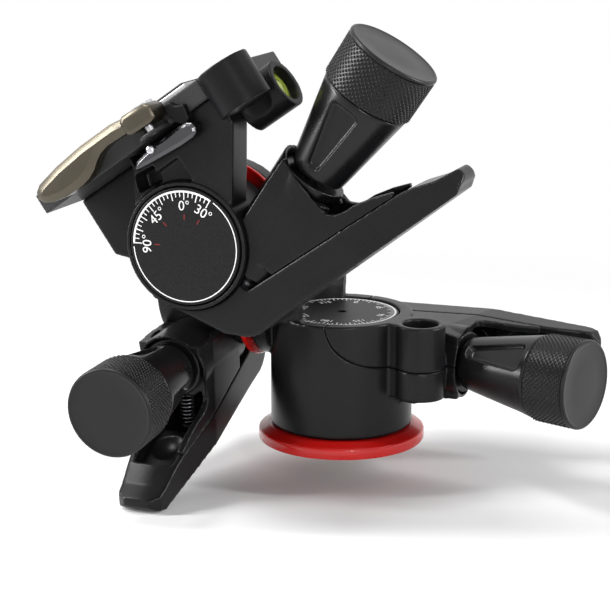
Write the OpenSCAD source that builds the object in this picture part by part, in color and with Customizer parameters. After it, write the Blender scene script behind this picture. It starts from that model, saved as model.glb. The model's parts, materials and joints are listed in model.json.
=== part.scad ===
// Three-way geared tripod head. Millimetres, +Z up.
// Origin: centre of the base's bottom face, on the pan axis. The front is -Y.
// Each of the three stages has the same drive: a worm wheel on the lower stage,
// and on the upper stage a casing, a finger arm and a knob whose worm swings
// clear of the wheel when the knob is squeezed towards the arm.

/* [Base] */
// Diameter of the base flange
base_d = 60; // [56:1:66]
// Height of the flange's straight rim
base_rim_h = 4.2; // [3:0.1:5]
// Height of the whole base plate
base_h = 5.6; // [5.2:0.1:7]
// Width of the flange ring that the pan body stands over
ring_lap = 2.3; // [1.5:0.1:3]
// Diameter of the hub under the pan spindle
hub_d = 26; // [24:0.5:30]
// Height of the hub's top
hub_h = 12; // [11:0.5:14]
// Tapping diameter of the 3/8 in tripod thread
tripod_thread_d = 8; // [7.5:0.1:8.5]
// Outer diameter of the threaded insert
insert_d = 13; // [12:0.5:15]
// Length of the threaded insert
insert_h = 9; // [7:0.5:10]

/* [Pan body] */
// Diameter of the pan body
body_d = 51; // [49:0.5:55]
// Height of the pan body's top face
body_top = 47; // [46:0.5:52]
// Running gap between the base and the pan body
turn_gap = 0.5; // [0.3:0.1:1]
// Height of the pan worm's axis
pan_worm_z = 30; // [29:0.5:32]
// Compass angle of the pan knob from +X
pan_angle = -16; // [-20:1:-10]
// Diameter of the screw boss beside the knob
boss_d = 17.4; // [16:0.2:19]
// Distance of the screw boss along the knob's direction
boss_along = 33.5; // [32:0.5:35]
// Height of the screw boss's lower face
boss_low = 20.4; // [18:0.2:24]
// Diameter of the sunk mouth of the screw boss
boss_mouth_d = 12.6; // [10:0.2:14]
// Diameter of the pan scale
pan_dial_d = 41; // [39:0.5:42]

/* [Tilt stage] */
// Height of the tilt axis
tilt_z = 53; // [52:0.5:56]
// Distance from the pan axis to the tilt joint's face
tilt_face_x = 29; // [28:0.5:32]
// Distance from the pan axis to the tilt worm's plane
tilt_worm_x = 49; // [48:0.5:52]
// Slope of the tilt knob below level
tilt_knob_dip = 3.6; // [2:0.2:6]

/* [Roll stage] */
// Distance of the roll axis to the left of the pan axis
roll_x = 23.8; // [22:0.2:26]
// Height of the roll axis
roll_z = 84.3; // [84:0.5:88]
// Distance from the pan axis to the roll joint's face
roll_face_y = 51; // [50:0.5:54]
// Distance from the pan axis to the roll worm's plane
roll_worm_y = 66; // [65.5:0.5:69]
// Sideways roll of the platform as posed
roll_rest = 35; // [0:1:50]
// Angle of the roll knob from the platform's width
roll_knob_angle = 21.7; // [18:0.5:26]

/* [Joints] */
// Diameter of the joint faces behind the drums
joint_d = 47.2; // [46:0.2:49]
// Diameter of the coloured joint rings
joint_ring_d = 49; // [48:0.2:52]
// Thickness of the joint rings
joint_ring_t = 1.7; // [1.2:0.1:2.5]
// Diameter of the spigot inside a joint ring
spigot_d = 40; // [36:0.5:42]
// Diameter of the three spindles
spindle_d = 14; // [12:0.5:16]
// Radial clearance of running fits
run_gap = 0.05; // [0.02:0.01:0.1]
// Gap between pieces that are fixed side by side
seat_gap = 0.1; // [0.05:0.05:0.3]

/* [Worm drive] */
// Teeth of each worm wheel
teeth = 40; // [36:1:44]
// Distance between wheel axis and worm axis
centre_distance = 20; // [19.8:0.1:20.6]
// Pitch diameter of the worm
worm_pitch_d = 10; // [9.6:0.1:10.4]
// Height of a tooth above the pitch circle
tooth_add = 0.5; // [0.4:0.05:0.6]
// Root clearance of the teeth
tooth_clear = 0.25; // [0.2:0.05:0.4]
// Share of the pitch that one tooth fills
tooth_share = 0.27; // [0.22:0.01:0.3]
// Face width of the worm wheel
wheel_face = 6; // [5:0.5:7]
// Length of the worm's thread
worm_len = 12; // [10:0.5:13]
// Diameter of the worm shaft
shaft_d = 5; // [4:0.2:6]
// Travel of the carrier that frees the worm
release_angle = 7; // [6:0.5:7.5]

/* [Stage casings] */
// Diameter of the drums around the wheels
drum_d = 42; // [41:0.5:44]
// Half of the width of a drum, block or arm
unit_half_w = 12.7; // [12:0.1:14]
// Diameter of the block around the worm
block_d = 25.4; // [24.4:0.2:27]
// End of the block along the worm's axis
block_end = 36.5; // [35.5:0.5:37]
// Inner diameter of the wheel chamber
chamber_d = 33; // [32.4:0.2:35]
// Diameter of the side scales
dial_d = 38.4; // [37:0.2:39.4]
// Thickness of the scales
dial_t = 1.9; // [1.5:0.1:2.5]
// Height of the scales' face above the worm's plane
dial_face = 14.7; // [14.3:0.1:16.2]

/* [Finger arm] */
// Reach of the arm along the knob
arm_reach = 73; // [66:1:80]
// Distance of the arm's back from the wheel axis
arm_root = 38.5; // [37.5:0.5:41]
// Distance of the arm's tip from the wheel axis
arm_tip = 61.5; // [59:0.5:65]
// Thickness of the arm's walls
arm_wall = 2.5; // [2:0.1:3]
// Height of the arm's side walls at the root
arm_flank = 14; // [12:0.5:16]
// Width of the arm at its tip
arm_tip_w = 15.5; // [13:0.5:20]
// Place of the step in the arm's floor, from the wheel axis
arm_step_at = 36.5; // [35:0.5:40]
// Height of the step in the arm's floor
arm_step = 3.8; // [2.5:0.1:5]

/* [Knobs] */
// Distance from the wheel axis to the knob's narrow end
knob_start = 42; // [41.5:0.5:44]
// Length of a knob
knob_len = 47; // [44:0.5:50]
// Diameter of the narrow end
knob_small_d = 18.8; // [17:0.2:20]
// Diameter of the wide end
knob_big_d = 31.4; // [29:0.2:33]
// Length of the rubber grip band
grip_len = 15.2; // [12:0.2:18]
// Thickness of the rubber grip
grip_t = 2.2; // [1.8:0.1:3]
// Thickness of the end cap's rim
cap_len = 1.4; // [1.2:0.1:3]
// Number of flutes
flutes = 3; // [2:1:6]
// Diameter of the black collar behind the knob
collar_d = 21.6; // [20:0.2:22]
// Slant of the casing's mouth round the collar
mouth_slant = 16; // [10:1:20]

/* [Springs and pins] */
// Diameter of the pivot pins
pin_d = 3; // [2.6:0.1:3.4]
// Wire diameter of the arm springs
spring_wire_d = 0.7; // [0.5:0.05:0.9]
// Mean diameter of the arm springs
spring_d = 6; // [5:0.2:6.6]
// Curls of the arm springs
spring_curls = 7; // [5:1:9]

/* [Platform] */
// Reach of the platform to the left of the roll axis
deck_left = 37; // [34:0.5:38]
// Reach of the platform to the right of the roll axis
deck_right = 42; // [40:0.5:46]
// Height of the platform's underside above the roll axis
deck_low = 34.5; // [34:0.1:36]
// Thickness of the platform frame
deck_t = 7; // [6:0.2:9]
// Front edge of the platform before the roll worm's plane
deck_front = 14.5; // [13:0.5:16]
// Rear edge of the platform behind the roll worm's plane
deck_back = 35; // [32:0.5:36]
// Width of the camera plate
plate_w = 52; // [48:1:56]
// Depth of the camera plate
plate_depth = 40; // [36:1:42]
// Thickness of the camera plate above its seat
plate_t = 5; // [4:0.2:7]
// Thickness of the pad on the camera plate
pad_t = 1; // [0.8:0.1:2]
// Depth of the seat of the camera plate
seat_depth = 3; // [2:0.2:4]
// Diameter of the 1/4 in camera screw
screw_d = 6.35; // [6:0.05:6.5]
// Height of the camera screw above the plate
screw_h = 5.5; // [4:0.5:7]
// Diameter of the standing level
level_d = 18; // [16:0.5:20]
// Height of the standing level
level_h = 15; // [12:0.5:18]
// Diameter of the lying level
side_level_d = 16.6; // [15:0.2:18]
// Length of the clamp lever's blade
lever_len = 47; // [40:1:50]
// Height of the clamp lever's blade
lever_h = 7.5; // [6:0.5:9]

/* [Hidden] */
$fn = 64;
eps = 0.01;
black = "#1b1b1c";
rubber = "#101011";
red = "#c2160f";
steel = "#9a9a9c";
brass = "#b08d4f";
bronze = "#8d8270";
grey = "#8f9092";
glass = "#c9d94a";

// Worm drive, in the frame of a stage: wheel axis along Z, worm axis along X
// at -Y, knob towards +X, finger arm on the far side of the worm.
wheel_pitch_r = centre_distance - worm_pitch_d / 2;
wheel_tip_r = wheel_pitch_r + tooth_add;
wheel_root_r = wheel_pitch_r - tooth_add - tooth_clear;
worm_tip_r = worm_pitch_d / 2 + tooth_add;
worm_root_r = worm_pitch_d / 2 - tooth_add - tooth_clear;
pitch = 2 * PI * wheel_pitch_r / teeth;
flank_slope = 0.3;
tooth_half = tooth_share * pitch / 2;
spindle_r = spindle_d / 2;
drum_r = drum_d / 2;
block_r = block_d / 2;
shaft_r = shaft_d / 2;
pivot_x = -10.5;
pivot_y = -centre_distance - 4.5;
ear_r = 2.6;
ear_half_w = 4;
bearing_r = 6;
bearing_from = worm_len / 2 + 1.6;
neck_r = 5;
foot_x = 28.5;
foot_half = 3.4;
bearing_to = foot_x - foot_half - 3.6;
foot_low = centre_distance + block_r + 0.6;
bar_top = worm_tip_r + 0.9;
bar_t = 2.6;
collar_from = block_end + 1.4;
collar_to = knob_start - 1;
wheel_room = wheel_face / 2 + 1;
chamber_half_w = bearing_r + 1;
arm_half_in = unit_half_w - arm_wall;
cheek_t = arm_wall;

// Arm outline: the strap leaves the drum at the left and runs into the arm.
arm_slope = (arm_tip - arm_root) / (arm_reach - 8);
strap_x = drum_r + 1.3;
strap_low = 26;
function arm_back(x) = -arm_root - arm_slope * x;
function arm_edge(x) = arm_back(x) + arm_flank * (1 - 0.26 * x / arm_reach);
function arm_floor(x) = arm_back(x) + arm_wall * 1.06 + arm_step;
ridge_x = arm_reach * 0.82;
bowl_r = 10;
bowl_x = (arm_step_at + ridge_x) / 2;
spring_seat_r = 4.2;
spring_seat_y = arm_back(foot_x - spring_seat_r) + arm_wall * 1.06 + 0.4;
spring_len = -foot_low - spring_seat_y - 2 * seat_gap;

// Stage frames.
module pan_frame() {
    translate([0, 0, pan_worm_z]) rotate([180, 0, pan_angle]) children();
}
module tilt_frame() {
    translate([-tilt_worm_x, 0, tilt_z]) rotate([90, 0, -90]) rotate([0, 0, -tilt_knob_dip])
        children();
}
module platform_frame() {
    translate([-roll_x, -roll_worm_y, roll_z]) rotate([90, 0, 0]) rotate([0, 0, roll_rest])
        children();
}
module roll_frame() {
    platform_frame() rotate([0, 0, roll_knob_angle]) children();
}

// General shapes.
module tube(r_out, r_in, z0, z1) {
    difference() {
        translate([0, 0, z0]) cylinder(r = r_out, h = z1 - z0);
        translate([0, 0, z0 - 1]) cylinder(r = r_in, h = z1 - z0 + 2);
    }
}
module rod(r, z0, z1) {
    translate([0, 0, z0]) cylinder(r = r, h = z1 - z0);
}
module along_worm(x = 0) {
    translate([x, -centre_distance, 0]) rotate([0, 90, 0]) children();
}
module slab(x0, x1, y0, y1, z0, z1) {
    translate([x0, y0, z0]) cube([x1 - x0, y1 - y0, z1 - z0]);
}
module socket_screw(d, length, head_h = 2) {
    difference() {
        union() {
            cylinder(d = d, h = length);
            translate([0, 0, length]) cylinder(d = d * 1.7, h = head_h);
        }
        translate([0, 0, length + head_h * 0.4]) cylinder(d = d * 0.8, h = head_h, $fn = 6);
    }
}

// Worm wheel: straight teeth, with a gap between teeth facing the worm.
function wheel_points() = [for (i = [0 : teeth - 1], k = [0 : 3])
    let (top = k == 1 || k == 2,
         half = tooth_half + (top ? -1 : 1) * flank_slope * tooth_add,
         side = k < 2 ? -1 : 1,
         r = top ? wheel_tip_r : wheel_root_r,
         a = -90 + (i + 0.5) * 360 / teeth + side * half / wheel_pitch_r * 180 / PI)
    [r * cos(a), r * sin(a)]];
module worm_wheel() {
    difference() {
        translate([0, 0, -wheel_face / 2]) linear_extrude(wheel_face) polygon(wheel_points());
        rod(spindle_r + run_gap / 2, -wheel_face, wheel_face);
    }
}

// Worm: one unbroken right-hand thread on a plain shaft.
thread_steps = 18;
thread_turns = worm_len / pitch - 1;
thread_rings = round(thread_turns * thread_steps);
function thread_ring(i) =
    let (a = (i - thread_rings / 2) * 360 / thread_steps,
         x = a / 360 * pitch,
         tip = tooth_half - flank_slope * tooth_add,
         root = tooth_half + flank_slope * tooth_add)
    [for (c = [[root, worm_root_r - 0.4], [tip, worm_tip_r], [-tip, worm_tip_r], [-root, worm_root_r - 0.4]])
        [x + c[0], c[1] * cos(a), c[1] * sin(a)]];
function sweep_points(rings) = [for (r = rings) each r];
function sweep_faces(count, sides) = [
    [for (s = [0 : sides - 1]) s],
    [for (s = [sides - 1 : -1 : 0]) (count - 1) * sides + s],
    for (i = [0 : count - 2], s = [0 : sides - 1])
        let (a = i * sides + s, b = i * sides + (s + 1) % sides)
        each [[a, a + sides, b + sides], [a, b + sides, b]]];
module worm_shaft() {
    translate([0, -centre_distance, 0]) {
        polyhedron(sweep_points([for (i = [0 : thread_rings]) thread_ring(i)]),
            sweep_faces(thread_rings + 1, 4), convexity = 10);
        rotate([0, 90, 0]) {
            rod(worm_root_r, -worm_len / 2 - 1, worm_len / 2 + 1);
            rod(shaft_r, -worm_len / 2 - 4.6, knob_start + knob_len - cap_len - 6);
        }
    }
}

// Carrier: swings on the pivot pin and holds the worm in two bearings.
module worm_carrier() {
    difference() {
        union() {
            translate([pivot_x, pivot_y, 0]) rod(ear_r, -ear_half_w, ear_half_w);
            along_worm() rod(4.2, -worm_len / 2 - 4.2, -worm_len / 2 - 1.6);
            slab(pivot_x, bearing_from + 4, -centre_distance - bar_top - bar_t,
                -centre_distance - bar_top, -ear_half_w, ear_half_w);
            slab(pivot_x - 1, -worm_len / 2 - 1.6, -centre_distance - bar_top - 0.6,
                -centre_distance - 2, -ear_half_w, ear_half_w);
            along_worm() rod(bearing_r, bearing_from, bearing_to);
            slab(bearing_from, bearing_from + 4, -centre_distance - bar_top - bar_t,
                -centre_distance, -ear_half_w, ear_half_w);
            along_worm() rod(neck_r, bearing_from, collar_to);
            slab(foot_x - foot_half, foot_x + foot_half, -foot_low, -centre_distance,
                -foot_half, foot_half);
            along_worm() rod(collar_d / 2, collar_from, collar_to);
        }
        along_worm() rod(shaft_r + run_gap, -worm_len / 2 - 10, knob_start);
        translate([pivot_x, pivot_y, 0]) rod(pin_d / 2 + run_gap, -20, 20);
    }
}
pin_half = unit_half_w - 1;
module pivot_pin() {
    translate([pivot_x, pivot_y, 0]) rod(pin_d / 2, -pin_half, pin_half);
}
module pin_hole() {
    translate([pivot_x, pivot_y, 0]) rod(pin_d / 2 + seat_gap / 2, -pin_half - seat_gap, pin_half + seat_gap);
}

// Room for worm and carrier inside drum, casing and block, at rest and swung.
module worm_room() {
    slab(pivot_x - 3.2, worm_len / 2 + 1, pivot_y - 9, -centre_distance + worm_tip_r + 0.6,
        -chamber_half_w, chamber_half_w);
    slab(worm_len / 2, bearing_to + 2.2, -centre_distance - block_r - 1,
        -centre_distance + bearing_r + 0.5, -chamber_half_w, chamber_half_w);
    slab(bearing_to, block_end + 1, -centre_distance - block_r - 1,
        -centre_distance + neck_r + 0.5, -neck_r - 0.4, neck_r + 0.4);
}
module wheel_room(r_extra = 0) {
    rod(chamber_d / 2 + r_extra, -wheel_room, wheel_room);
}

// Drum of a side stage, from its rear face to the rim around the scale.
module drum(rear) {
    difference() {
        rod(drum_r, rear, dial_face - 0.3);
        rod(spindle_r + run_gap, rear - 1, dial_face);
        rod(dial_d / 2 + 0.4, dial_face - dial_t - 0.4, dial_face);
        wheel_room();
        worm_room();
        strap_screw_holes();
    }
}

// Block that covers the worm beside the drum, with cheeks down to the arm.
cheek_from = 9.5;
mouth_r = collar_d / 2 + 0.7;
mouth_from = collar_from - 0.6;
lip_end = block_end + 10;
module cheeks() {
    difference() {
        tapered(0.05) polygon([
            [4, -centre_distance + block_r - 3.4], [lip_end, -centre_distance + block_r - 3.4],
            [lip_end, -centre_distance], [block_end + 0.5, -centre_distance - 11.7],
            [block_end + 2.2, -centre_distance - 14.6], [block_end + 5, -centre_distance - 16.4],
            [block_end + 8, -centre_distance - 17.6], [block_end + 14, -centre_distance - 21.4],
            [block_end + 19, -centre_distance - 25.4], [block_end + 14, -centre_distance - 30],
            [cheek_from, -centre_distance - 26], [cheek_from + 0.6, -centre_distance], [4, -centre_distance]]);
        tapered(cheek_t + 0.05) translate([0, -80]) square([80, 90]);
    }
}
// Mouth: a slanted face round the collar, open towards the arm.
module mouth() {
    along_worm() rod(mouth_r, mouth_from, lip_end + 5);
    slab(mouth_from, lip_end + 5, -centre_distance - block_r - 0.5, -centre_distance,
        -mouth_r + 0.06, mouth_r - 0.06);
    translate([block_end + 3.8, -centre_distance, 0]) rotate([0, 0, -mouth_slant])
        slab(0, 30, -12, 30, -30, 30);
}
module worm_block(hug_r) {
    difference() {
        union() {
            along_worm() rod(block_r, 4, lip_end);
            slab(4, block_end - 8, -centre_distance, -centre_distance + block_r - 3.4,
                -unit_half_w + 0.05, unit_half_w - 0.05);
            cheeks();
        }
        mouth();
        rod(hug_r + seat_gap, -unit_half_w - 1, unit_half_w + 1);
        worm_room();
        arm_hug();
    }
}
// The block ends above the arm's walls.
module arm_hug() {
    far_x = block_end + 25;
    difference() {
        linear_extrude(2 * unit_half_w + 6, center = true) polygon([[0, arm_edge(0) + seat_gap],
            [far_x, arm_edge(far_x) + seat_gap], [far_x, -70], [0, -70]]);
        tapered(arm_wall + seat_gap) translate([-1, -81]) square([90, 100]);
    }
}

// Stock of the arm and the cheeks: narrower towards the arm's tip.
taper_from = arm_reach * 0.45;
taper = atan((unit_half_w - arm_tip_w / 2) / (arm_reach - taper_from));
module tapered(inset) {
    difference() {
        linear_extrude(2 * (unit_half_w - inset), center = true) children();
        for (side = [0, 1]) mirror([0, 0, side]) translate([taper_from, -90, unit_half_w - inset])
            rotate([0, taper, 0]) cube([60, 120, 20]);
    }
}

// Finger arm with its strap, a channel open towards the knob.
module arm_outline() {
    polygon(concat(
        [[-strap_x * cos(30), strap_x * sin(30)], [-strap_x, 0]],
        [[-strap_x + 5.6, -strap_low]],
        [for (a = [200 : 15 : 245]) [-4 + 11.5 * cos(a), arm_back(-4) + 12 + 12 * sin(a)]],
        [[2, arm_back(2)], [arm_reach - 6, arm_back(arm_reach - 6)]],
        [for (a = [-100 : 25 : 35]) [arm_reach - 3 + 3 * cos(a), -arm_tip + 3 + 3 * sin(a)]],
        [[arm_reach * 0.91, arm_edge(arm_reach * 0.91) - 2.8], [ridge_x, arm_edge(ridge_x) - 0.6],
         [ridge_x - 5, arm_edge(ridge_x - 5)], [0, arm_edge(0)],
         [0, -drum_r], [-drum_r * 0.7, -drum_r * 0.7], [-drum_r, 0]]));
}
module arm_cavity() {
    dx = arm_wall;
    polygon([[-strap_x + 5.6 + dx + 0.6, -strap_low + 8], [-strap_x + 5.6 + dx, -strap_low],
        [-10.5, arm_back(-4) + 5], [-4, arm_back(-4) + dx + 0.6], [2, arm_back(2) + dx * 1.06],
        [arm_step_at, arm_back(arm_step_at) + dx * 1.06],
        [arm_step_at, arm_floor(arm_step_at)],
        [ridge_x - 4, arm_floor(ridge_x - 4)],
        [ridge_x, arm_edge(ridge_x)], [ridge_x, arm_edge(ridge_x) + 20], [0, 0], [-8, -8]]);
}
module finger_arm(hug_r) {
    difference() {
        tapered(0) arm_outline();
        tapered(arm_wall) arm_cavity();
        rod(hug_r + seat_gap, -unit_half_w - 1, unit_half_w + 1);
        pin_hole();
        strap_screw_holes();
        for (side = [0, 1]) mirror([0, 0, side])
            translate([arm_reach - 2.6, -90, arm_tip_w / 2]) rotate([0, 50, 0]) cube([30, 90, 20]);
        translate([bowl_x, arm_floor(bowl_x) + bowl_r - 1.8, 0]) sphere(r = bowl_r);
    }
    translate([foot_x, spring_seat_y, 0]) rotate([90, 0, 0]) rod(spring_seat_r, 0, arm_wall + 1);
}

// Compression spring between the carrier's foot and the arm's floor.
spring_rings = spring_curls * 8;
spring_rise = spring_len - spring_wire_d;
function spring_centre(i) =
    let (a = i * 45) [spring_d / 2 * cos(a), spring_rise * i / spring_rings, spring_d / 2 * sin(a)];
function spring_ring(i) =
    let (a = i * 45, c = spring_centre(i))
    [for (s = [0 : 5]) c + spring_wire_d / 2 * [cos(60 * s) * cos(a), sin(60 * s), cos(60 * s) * sin(a)]];
spring_gap = min([for (i = [0 : 7], j = [i + 8]) norm(spring_centre(i) - spring_centre(j)) - spring_wire_d]);
module arm_spring() {
    translate([foot_x, spring_seat_y + seat_gap + spring_wire_d / 2, 0])
        polyhedron(sweep_points([for (i = [0 : spring_rings]) spring_ring(i)]),
            sweep_faces(spring_rings + 1, 6), convexity = 10);
}

// Knob: fluted core, rubber band and end cap, turned about the worm's axis.
knob_end = knob_start + knob_len;
grip_from = knob_end - cap_len - grip_len;
core_wide_r = knob_big_d / 2 - grip_t;
small_r = knob_small_d / 2;
shoulder_r = knob_big_d / 2 - 1;
flute_from = 4;
flute_len = grip_from - knob_start - flute_from - 4.5;
flute_slope = atan((shoulder_r - small_r) / (grip_from - knob_start));
flute_depth = 2;
module flute_outline() {
    polygon(concat([for (a = [-105 : 30 : 105]) [-2.4 + 2.4 * cos(a), 2.4 * sin(a)]],
        [[-flute_len + 1.2, 5.2], [-flute_len, 4], [-flute_len, -4], [-flute_len + 1.2, -5.2]]));
}
module turned(points) {
    along_worm() rotate_extrude() polygon(points);
}
module knob_core(turn) {
    difference() {
        turned([[0, knob_start], [small_r - 1, knob_start], [small_r, knob_start + 1],
            [shoulder_r, grip_from - 0.4], [shoulder_r - 0.6, grip_from], [core_wide_r - seat_gap, grip_from],
            [core_wide_r - seat_gap, knob_end - cap_len], [0, knob_end - cap_len]]);
        along_worm() rod(shaft_r + seat_gap / 2, knob_start - 1, knob_end - cap_len - 5);
        for (i = [0 : flutes - 1])
            along_worm(knob_start) rotate([0, 0, turn + i * 360 / flutes])
                translate([small_r - flute_depth, 0, 0]) rotate([0, flute_slope, 0])
                    translate([0, 0, flute_from]) rotate([0, 90, 0]) linear_extrude(6) flute_outline();
    }
}
module knob_grip() {
    big_r = knob_big_d / 2;
    turned([[core_wide_r, grip_from + seat_gap], [big_r - 0.9, grip_from + seat_gap],
        [big_r - 0.3, grip_from + 0.8], [big_r, knob_end - cap_len - 0.8],
        [big_r - 0.5, knob_end - cap_len - seat_gap], [core_wide_r, knob_end - cap_len - seat_gap]]);
}
module knob_cap() {
    big_r = knob_big_d / 2;
    turned([[0, knob_end - cap_len + seat_gap], [big_r - 0.6, knob_end - cap_len + seat_gap],
        [big_r - 0.2, knob_end - cap_len + 0.7], [big_r - 0.4, knob_end - 0.9], [big_r - 1.4, knob_end - 0.2],
        [big_r - 2.6, knob_end], [big_r - 3.4, knob_end - 0.6], [0, knob_end - 0.4]]);
}

// Screws that hold the arm's strap to the casing.
strap_screw_z = unit_half_w - 3.6;
strap_screw_d = 2.4;
module at_strap_screws() {
    for (side = [-1, 1])
        rotate([0, 0, -132]) translate([drum_r - 4, 0, side * strap_screw_z]) rotate([0, 90, 0]) children();
}
module strap_screws() {
    at_strap_screws() socket_screw(strap_screw_d, 6, 1.6);
}
module strap_screw_holes() {
    at_strap_screws() {
        cylinder(d = strap_screw_d + 0.2, h = 20);
        translate([0, 0, 5.9]) cylinder(d = strap_screw_d * 1.7 + 0.3, h = 20);
    }
}

// Joint parts of a stage, on the frame of the stage above it.
module stage_spindle(face, end) {
    rod(spindle_r, face, end);
    rod(spindle_r + 3, face - 5, face);
}
module joint_ring(face) {
    tube(joint_ring_d / 2, spigot_d / 2 + seat_gap, face - joint_ring_t, face);
}
module scale_disc() {
    difference() {
        rod(dial_d / 2, dial_face - dial_t, dial_face);
        rod(1.6, dial_face - dial_t - 1, dial_face - 0.9);
    }
}

// ---- Base ----
ring_top_r = body_d / 2 + 0.8;
spigot_base_r = ring_top_r - ring_lap;
module base_plate() color(black) difference() {
    union() {
        rod(spigot_base_r, 0, base_h);
        rod(hub_d / 2, 0, hub_h);
    }
    rod(insert_d / 2 + seat_gap / 2, -1, insert_h + seat_gap);
    base_screw_holes();
}
module base_screw_holes() {
    for (i = [0 : 2]) rotate([0, 0, 120 * i + 90]) translate([hub_d / 2 - 3.2, 0, 0]) rod(1.3, insert_h - 3, 20);
}
module base_ring() color(red) difference() {
    rotate_extrude() polygon([[spigot_base_r + seat_gap, 0], [base_d / 2 - 0.6, 0], [base_d / 2, 0.6],
        [base_d / 2, base_rim_h - 0.5], [base_d / 2 - 0.5, base_rim_h], [ring_top_r, base_h],
        [spigot_base_r + seat_gap, base_h]]);
}
module thread_insert() color(brass) tube(insert_d / 2, tripod_thread_d / 2, 0, insert_h);
spindle_top = body_top - dial_t - 1.2;
module pan_spindle() color(steel) {
    rod(spindle_r, hub_h, spindle_top);
    difference() {
        rod(hub_d / 2, hub_h, hub_h + 2.5);
        base_screw_holes();
    }
}
module pan_wheel() color(brass) pan_frame() worm_wheel();
module pan_dial() color(black) tube(pan_dial_d / 2, 1.7, spindle_top, body_top - 0.6);

// ---- Pan stage ----
body_r = body_d / 2;
casing_low = pan_worm_z + 1;
neck_x0 = -tilt_face_x;
neck_x1 = -pan_dial_d / 2 - 0.9;
neck_reach = 21;
flare_r = 13;
flare_h = 19;
module pan_cuts() {
    rod(hub_d / 2 + turn_gap, 0, hub_h + 3);
    rod(spindle_r + run_gap, 0, body_top);
    rod(pan_dial_d / 2 + 0.4, body_top - dial_t - 1.4, body_top + 1);
    pan_frame() {
        wheel_room();
        worm_room();
        pin_hole();
        mouth();
    }
}
module pan_shell() {
    rod(body_r, base_h + turn_gap, body_top);
    pan_frame() difference() {
        union() {
            along_worm() rod(block_r, -6, lip_end);
            slab(-6, block_end - 3, -centre_distance, 0, -unit_half_w + 0.05, unit_half_w - 0.05);
            cheeks();
        }
        arm_hug();
    }
    pan_frame() translate([boss_along, -1, 0]) rod(boss_d / 2, pan_worm_z - body_top, pan_worm_z - boss_low);
    pan_frame() slab(body_r - 3.5, boss_along, -8, 6, pan_worm_z - body_top, pan_worm_z - boss_low);
}
// Part of the body that the right-hand casing takes: above the worm's plane,
// with a seam that sweeps up to the neck.
seam_x = 3;
seam_w = 22;
module casing_side() {
    seam_h = body_top - casing_low;
    translate([0, 80, 0]) rotate([90, 0, 0]) linear_extrude(160) polygon(concat(
        [for (a = [180 : 6 : 270]) [seam_x + seam_w * (1 + cos(a)), casing_low + seam_h * (1 + sin(a))]],
        [[83, casing_low], [83, body_top + 5], [seam_x, body_top + 5]]));
}
module boss_bore() {
    pan_frame() translate([boss_along, -1, 0]) {
        rod(1.5, pan_worm_z - boss_low - 12, 60);
        rod(1.7, -60, pan_worm_z - boss_low - 12);
        rod(boss_mouth_d / 2, -60, pan_worm_z - body_top + 8);
    }
}
module pan_body() color(black) difference() {
    union() {
        difference() {
            pan_shell();
            pan_cuts();
            casing_side();
            boss_bore();
            pan_frame() arm_room();
        }
        pan_neck();
    }
    translate([0, 0, tilt_z]) rotate([0, 90, 0]) {
        rod(spindle_r + 3.05, -tilt_face_x - 1, -tilt_face_x + 5.1);
    }
}
module arm_room() {
    linear_extrude(2 * unit_half_w + 0.4, center = true) polygon([[-60, -centre_distance - block_r + 4],
        [-60, -80], [-10, -80], [-10, -centre_distance - block_r + 4]]);
}
module pan_casing() color(black) difference() {
    intersection() {
        pan_shell();
        translate([seat_gap, 0, seat_gap]) casing_side();
    }
    pan_cuts();
    boss_bore();
}
module pan_neck() {
    translate([neck_x0, 0, tilt_z]) rotate([0, 90, 0]) difference() {
        cylinder(d = joint_d, h = neck_x1 - neck_x0);
        translate([0, 0, -1]) tube(joint_d, spigot_d / 2, 0, joint_ring_t + 1 + seat_gap);
    }
    difference() {
        intersection() {
            translate([neck_x0 + 1, 0, tilt_z]) rotate([0, 90, 0]) cylinder(d = joint_d, h = neck_reach);
            translate([-60, -40, body_top - 1]) cube([60, 80, 60]);
        }
        rotate_extrude() polygon(concat([[0, body_top - 2], [pan_dial_d / 2 + 0.4, body_top - 2]],
            [for (a = [180 : -10 : 90]) [pan_dial_d / 2 + 0.4 + flare_r * (1 + cos(a)),
                body_top + 0.8 + flare_h * sin(a)]],
            [[60, body_top + 0.8 + flare_h], [60, 200], [0, 200]]));
    }
}
module pan_arm() color(black) pan_frame() difference() {
    finger_arm(body_r);
    rod(body_r + seat_gap, -40, 40);
    slab(-9, 30, -centre_distance - block_r + 5, 0, -20, 20);
}
module casing_screw() color(steel) pan_frame()
    translate([boss_along, -1, pan_worm_z - body_top + 8]) mirror([0, 0, 1]) translate([0, 0, -14])
        socket_screw(2.8, 14, 3);
module base_screws() color(steel) {
    for (i = [0 : 2]) rotate([0, 0, 120 * i + 90]) translate([hub_d / 2 - 3.2, 0, insert_h - 2.6])
        cylinder(d = 2.4, h = hub_h + 2.4 - insert_h + 2.6);
}
module pan_pivot_pin() color(steel) pan_frame() pivot_pin();
module pan_spring() color(steel) pan_frame() arm_spring();
module pan_carrier() color(rubber) pan_frame() worm_carrier();
module pan_worm() color(steel) pan_frame() worm_shaft();
module pan_knob() color(black) pan_frame() knob_core(49);
module pan_grip() color(rubber) pan_frame() knob_grip();
module pan_cap() color(black) pan_frame() knob_cap();

// ---- Tilt joint, carried by the pan stage ----
tilt_face = tilt_face_x - tilt_worm_x;
side_spindle_end = dial_face - dial_t;
module tilt_spindle() color(steel) tilt_frame() stage_spindle(tilt_face, side_spindle_end);
module tilt_wheel() color(brass) tilt_frame() worm_wheel();
module tilt_ring() color(red) tilt_frame() joint_ring(tilt_face + joint_ring_t);
module tilt_dial() color(black) tilt_frame() scale_disc();

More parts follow.
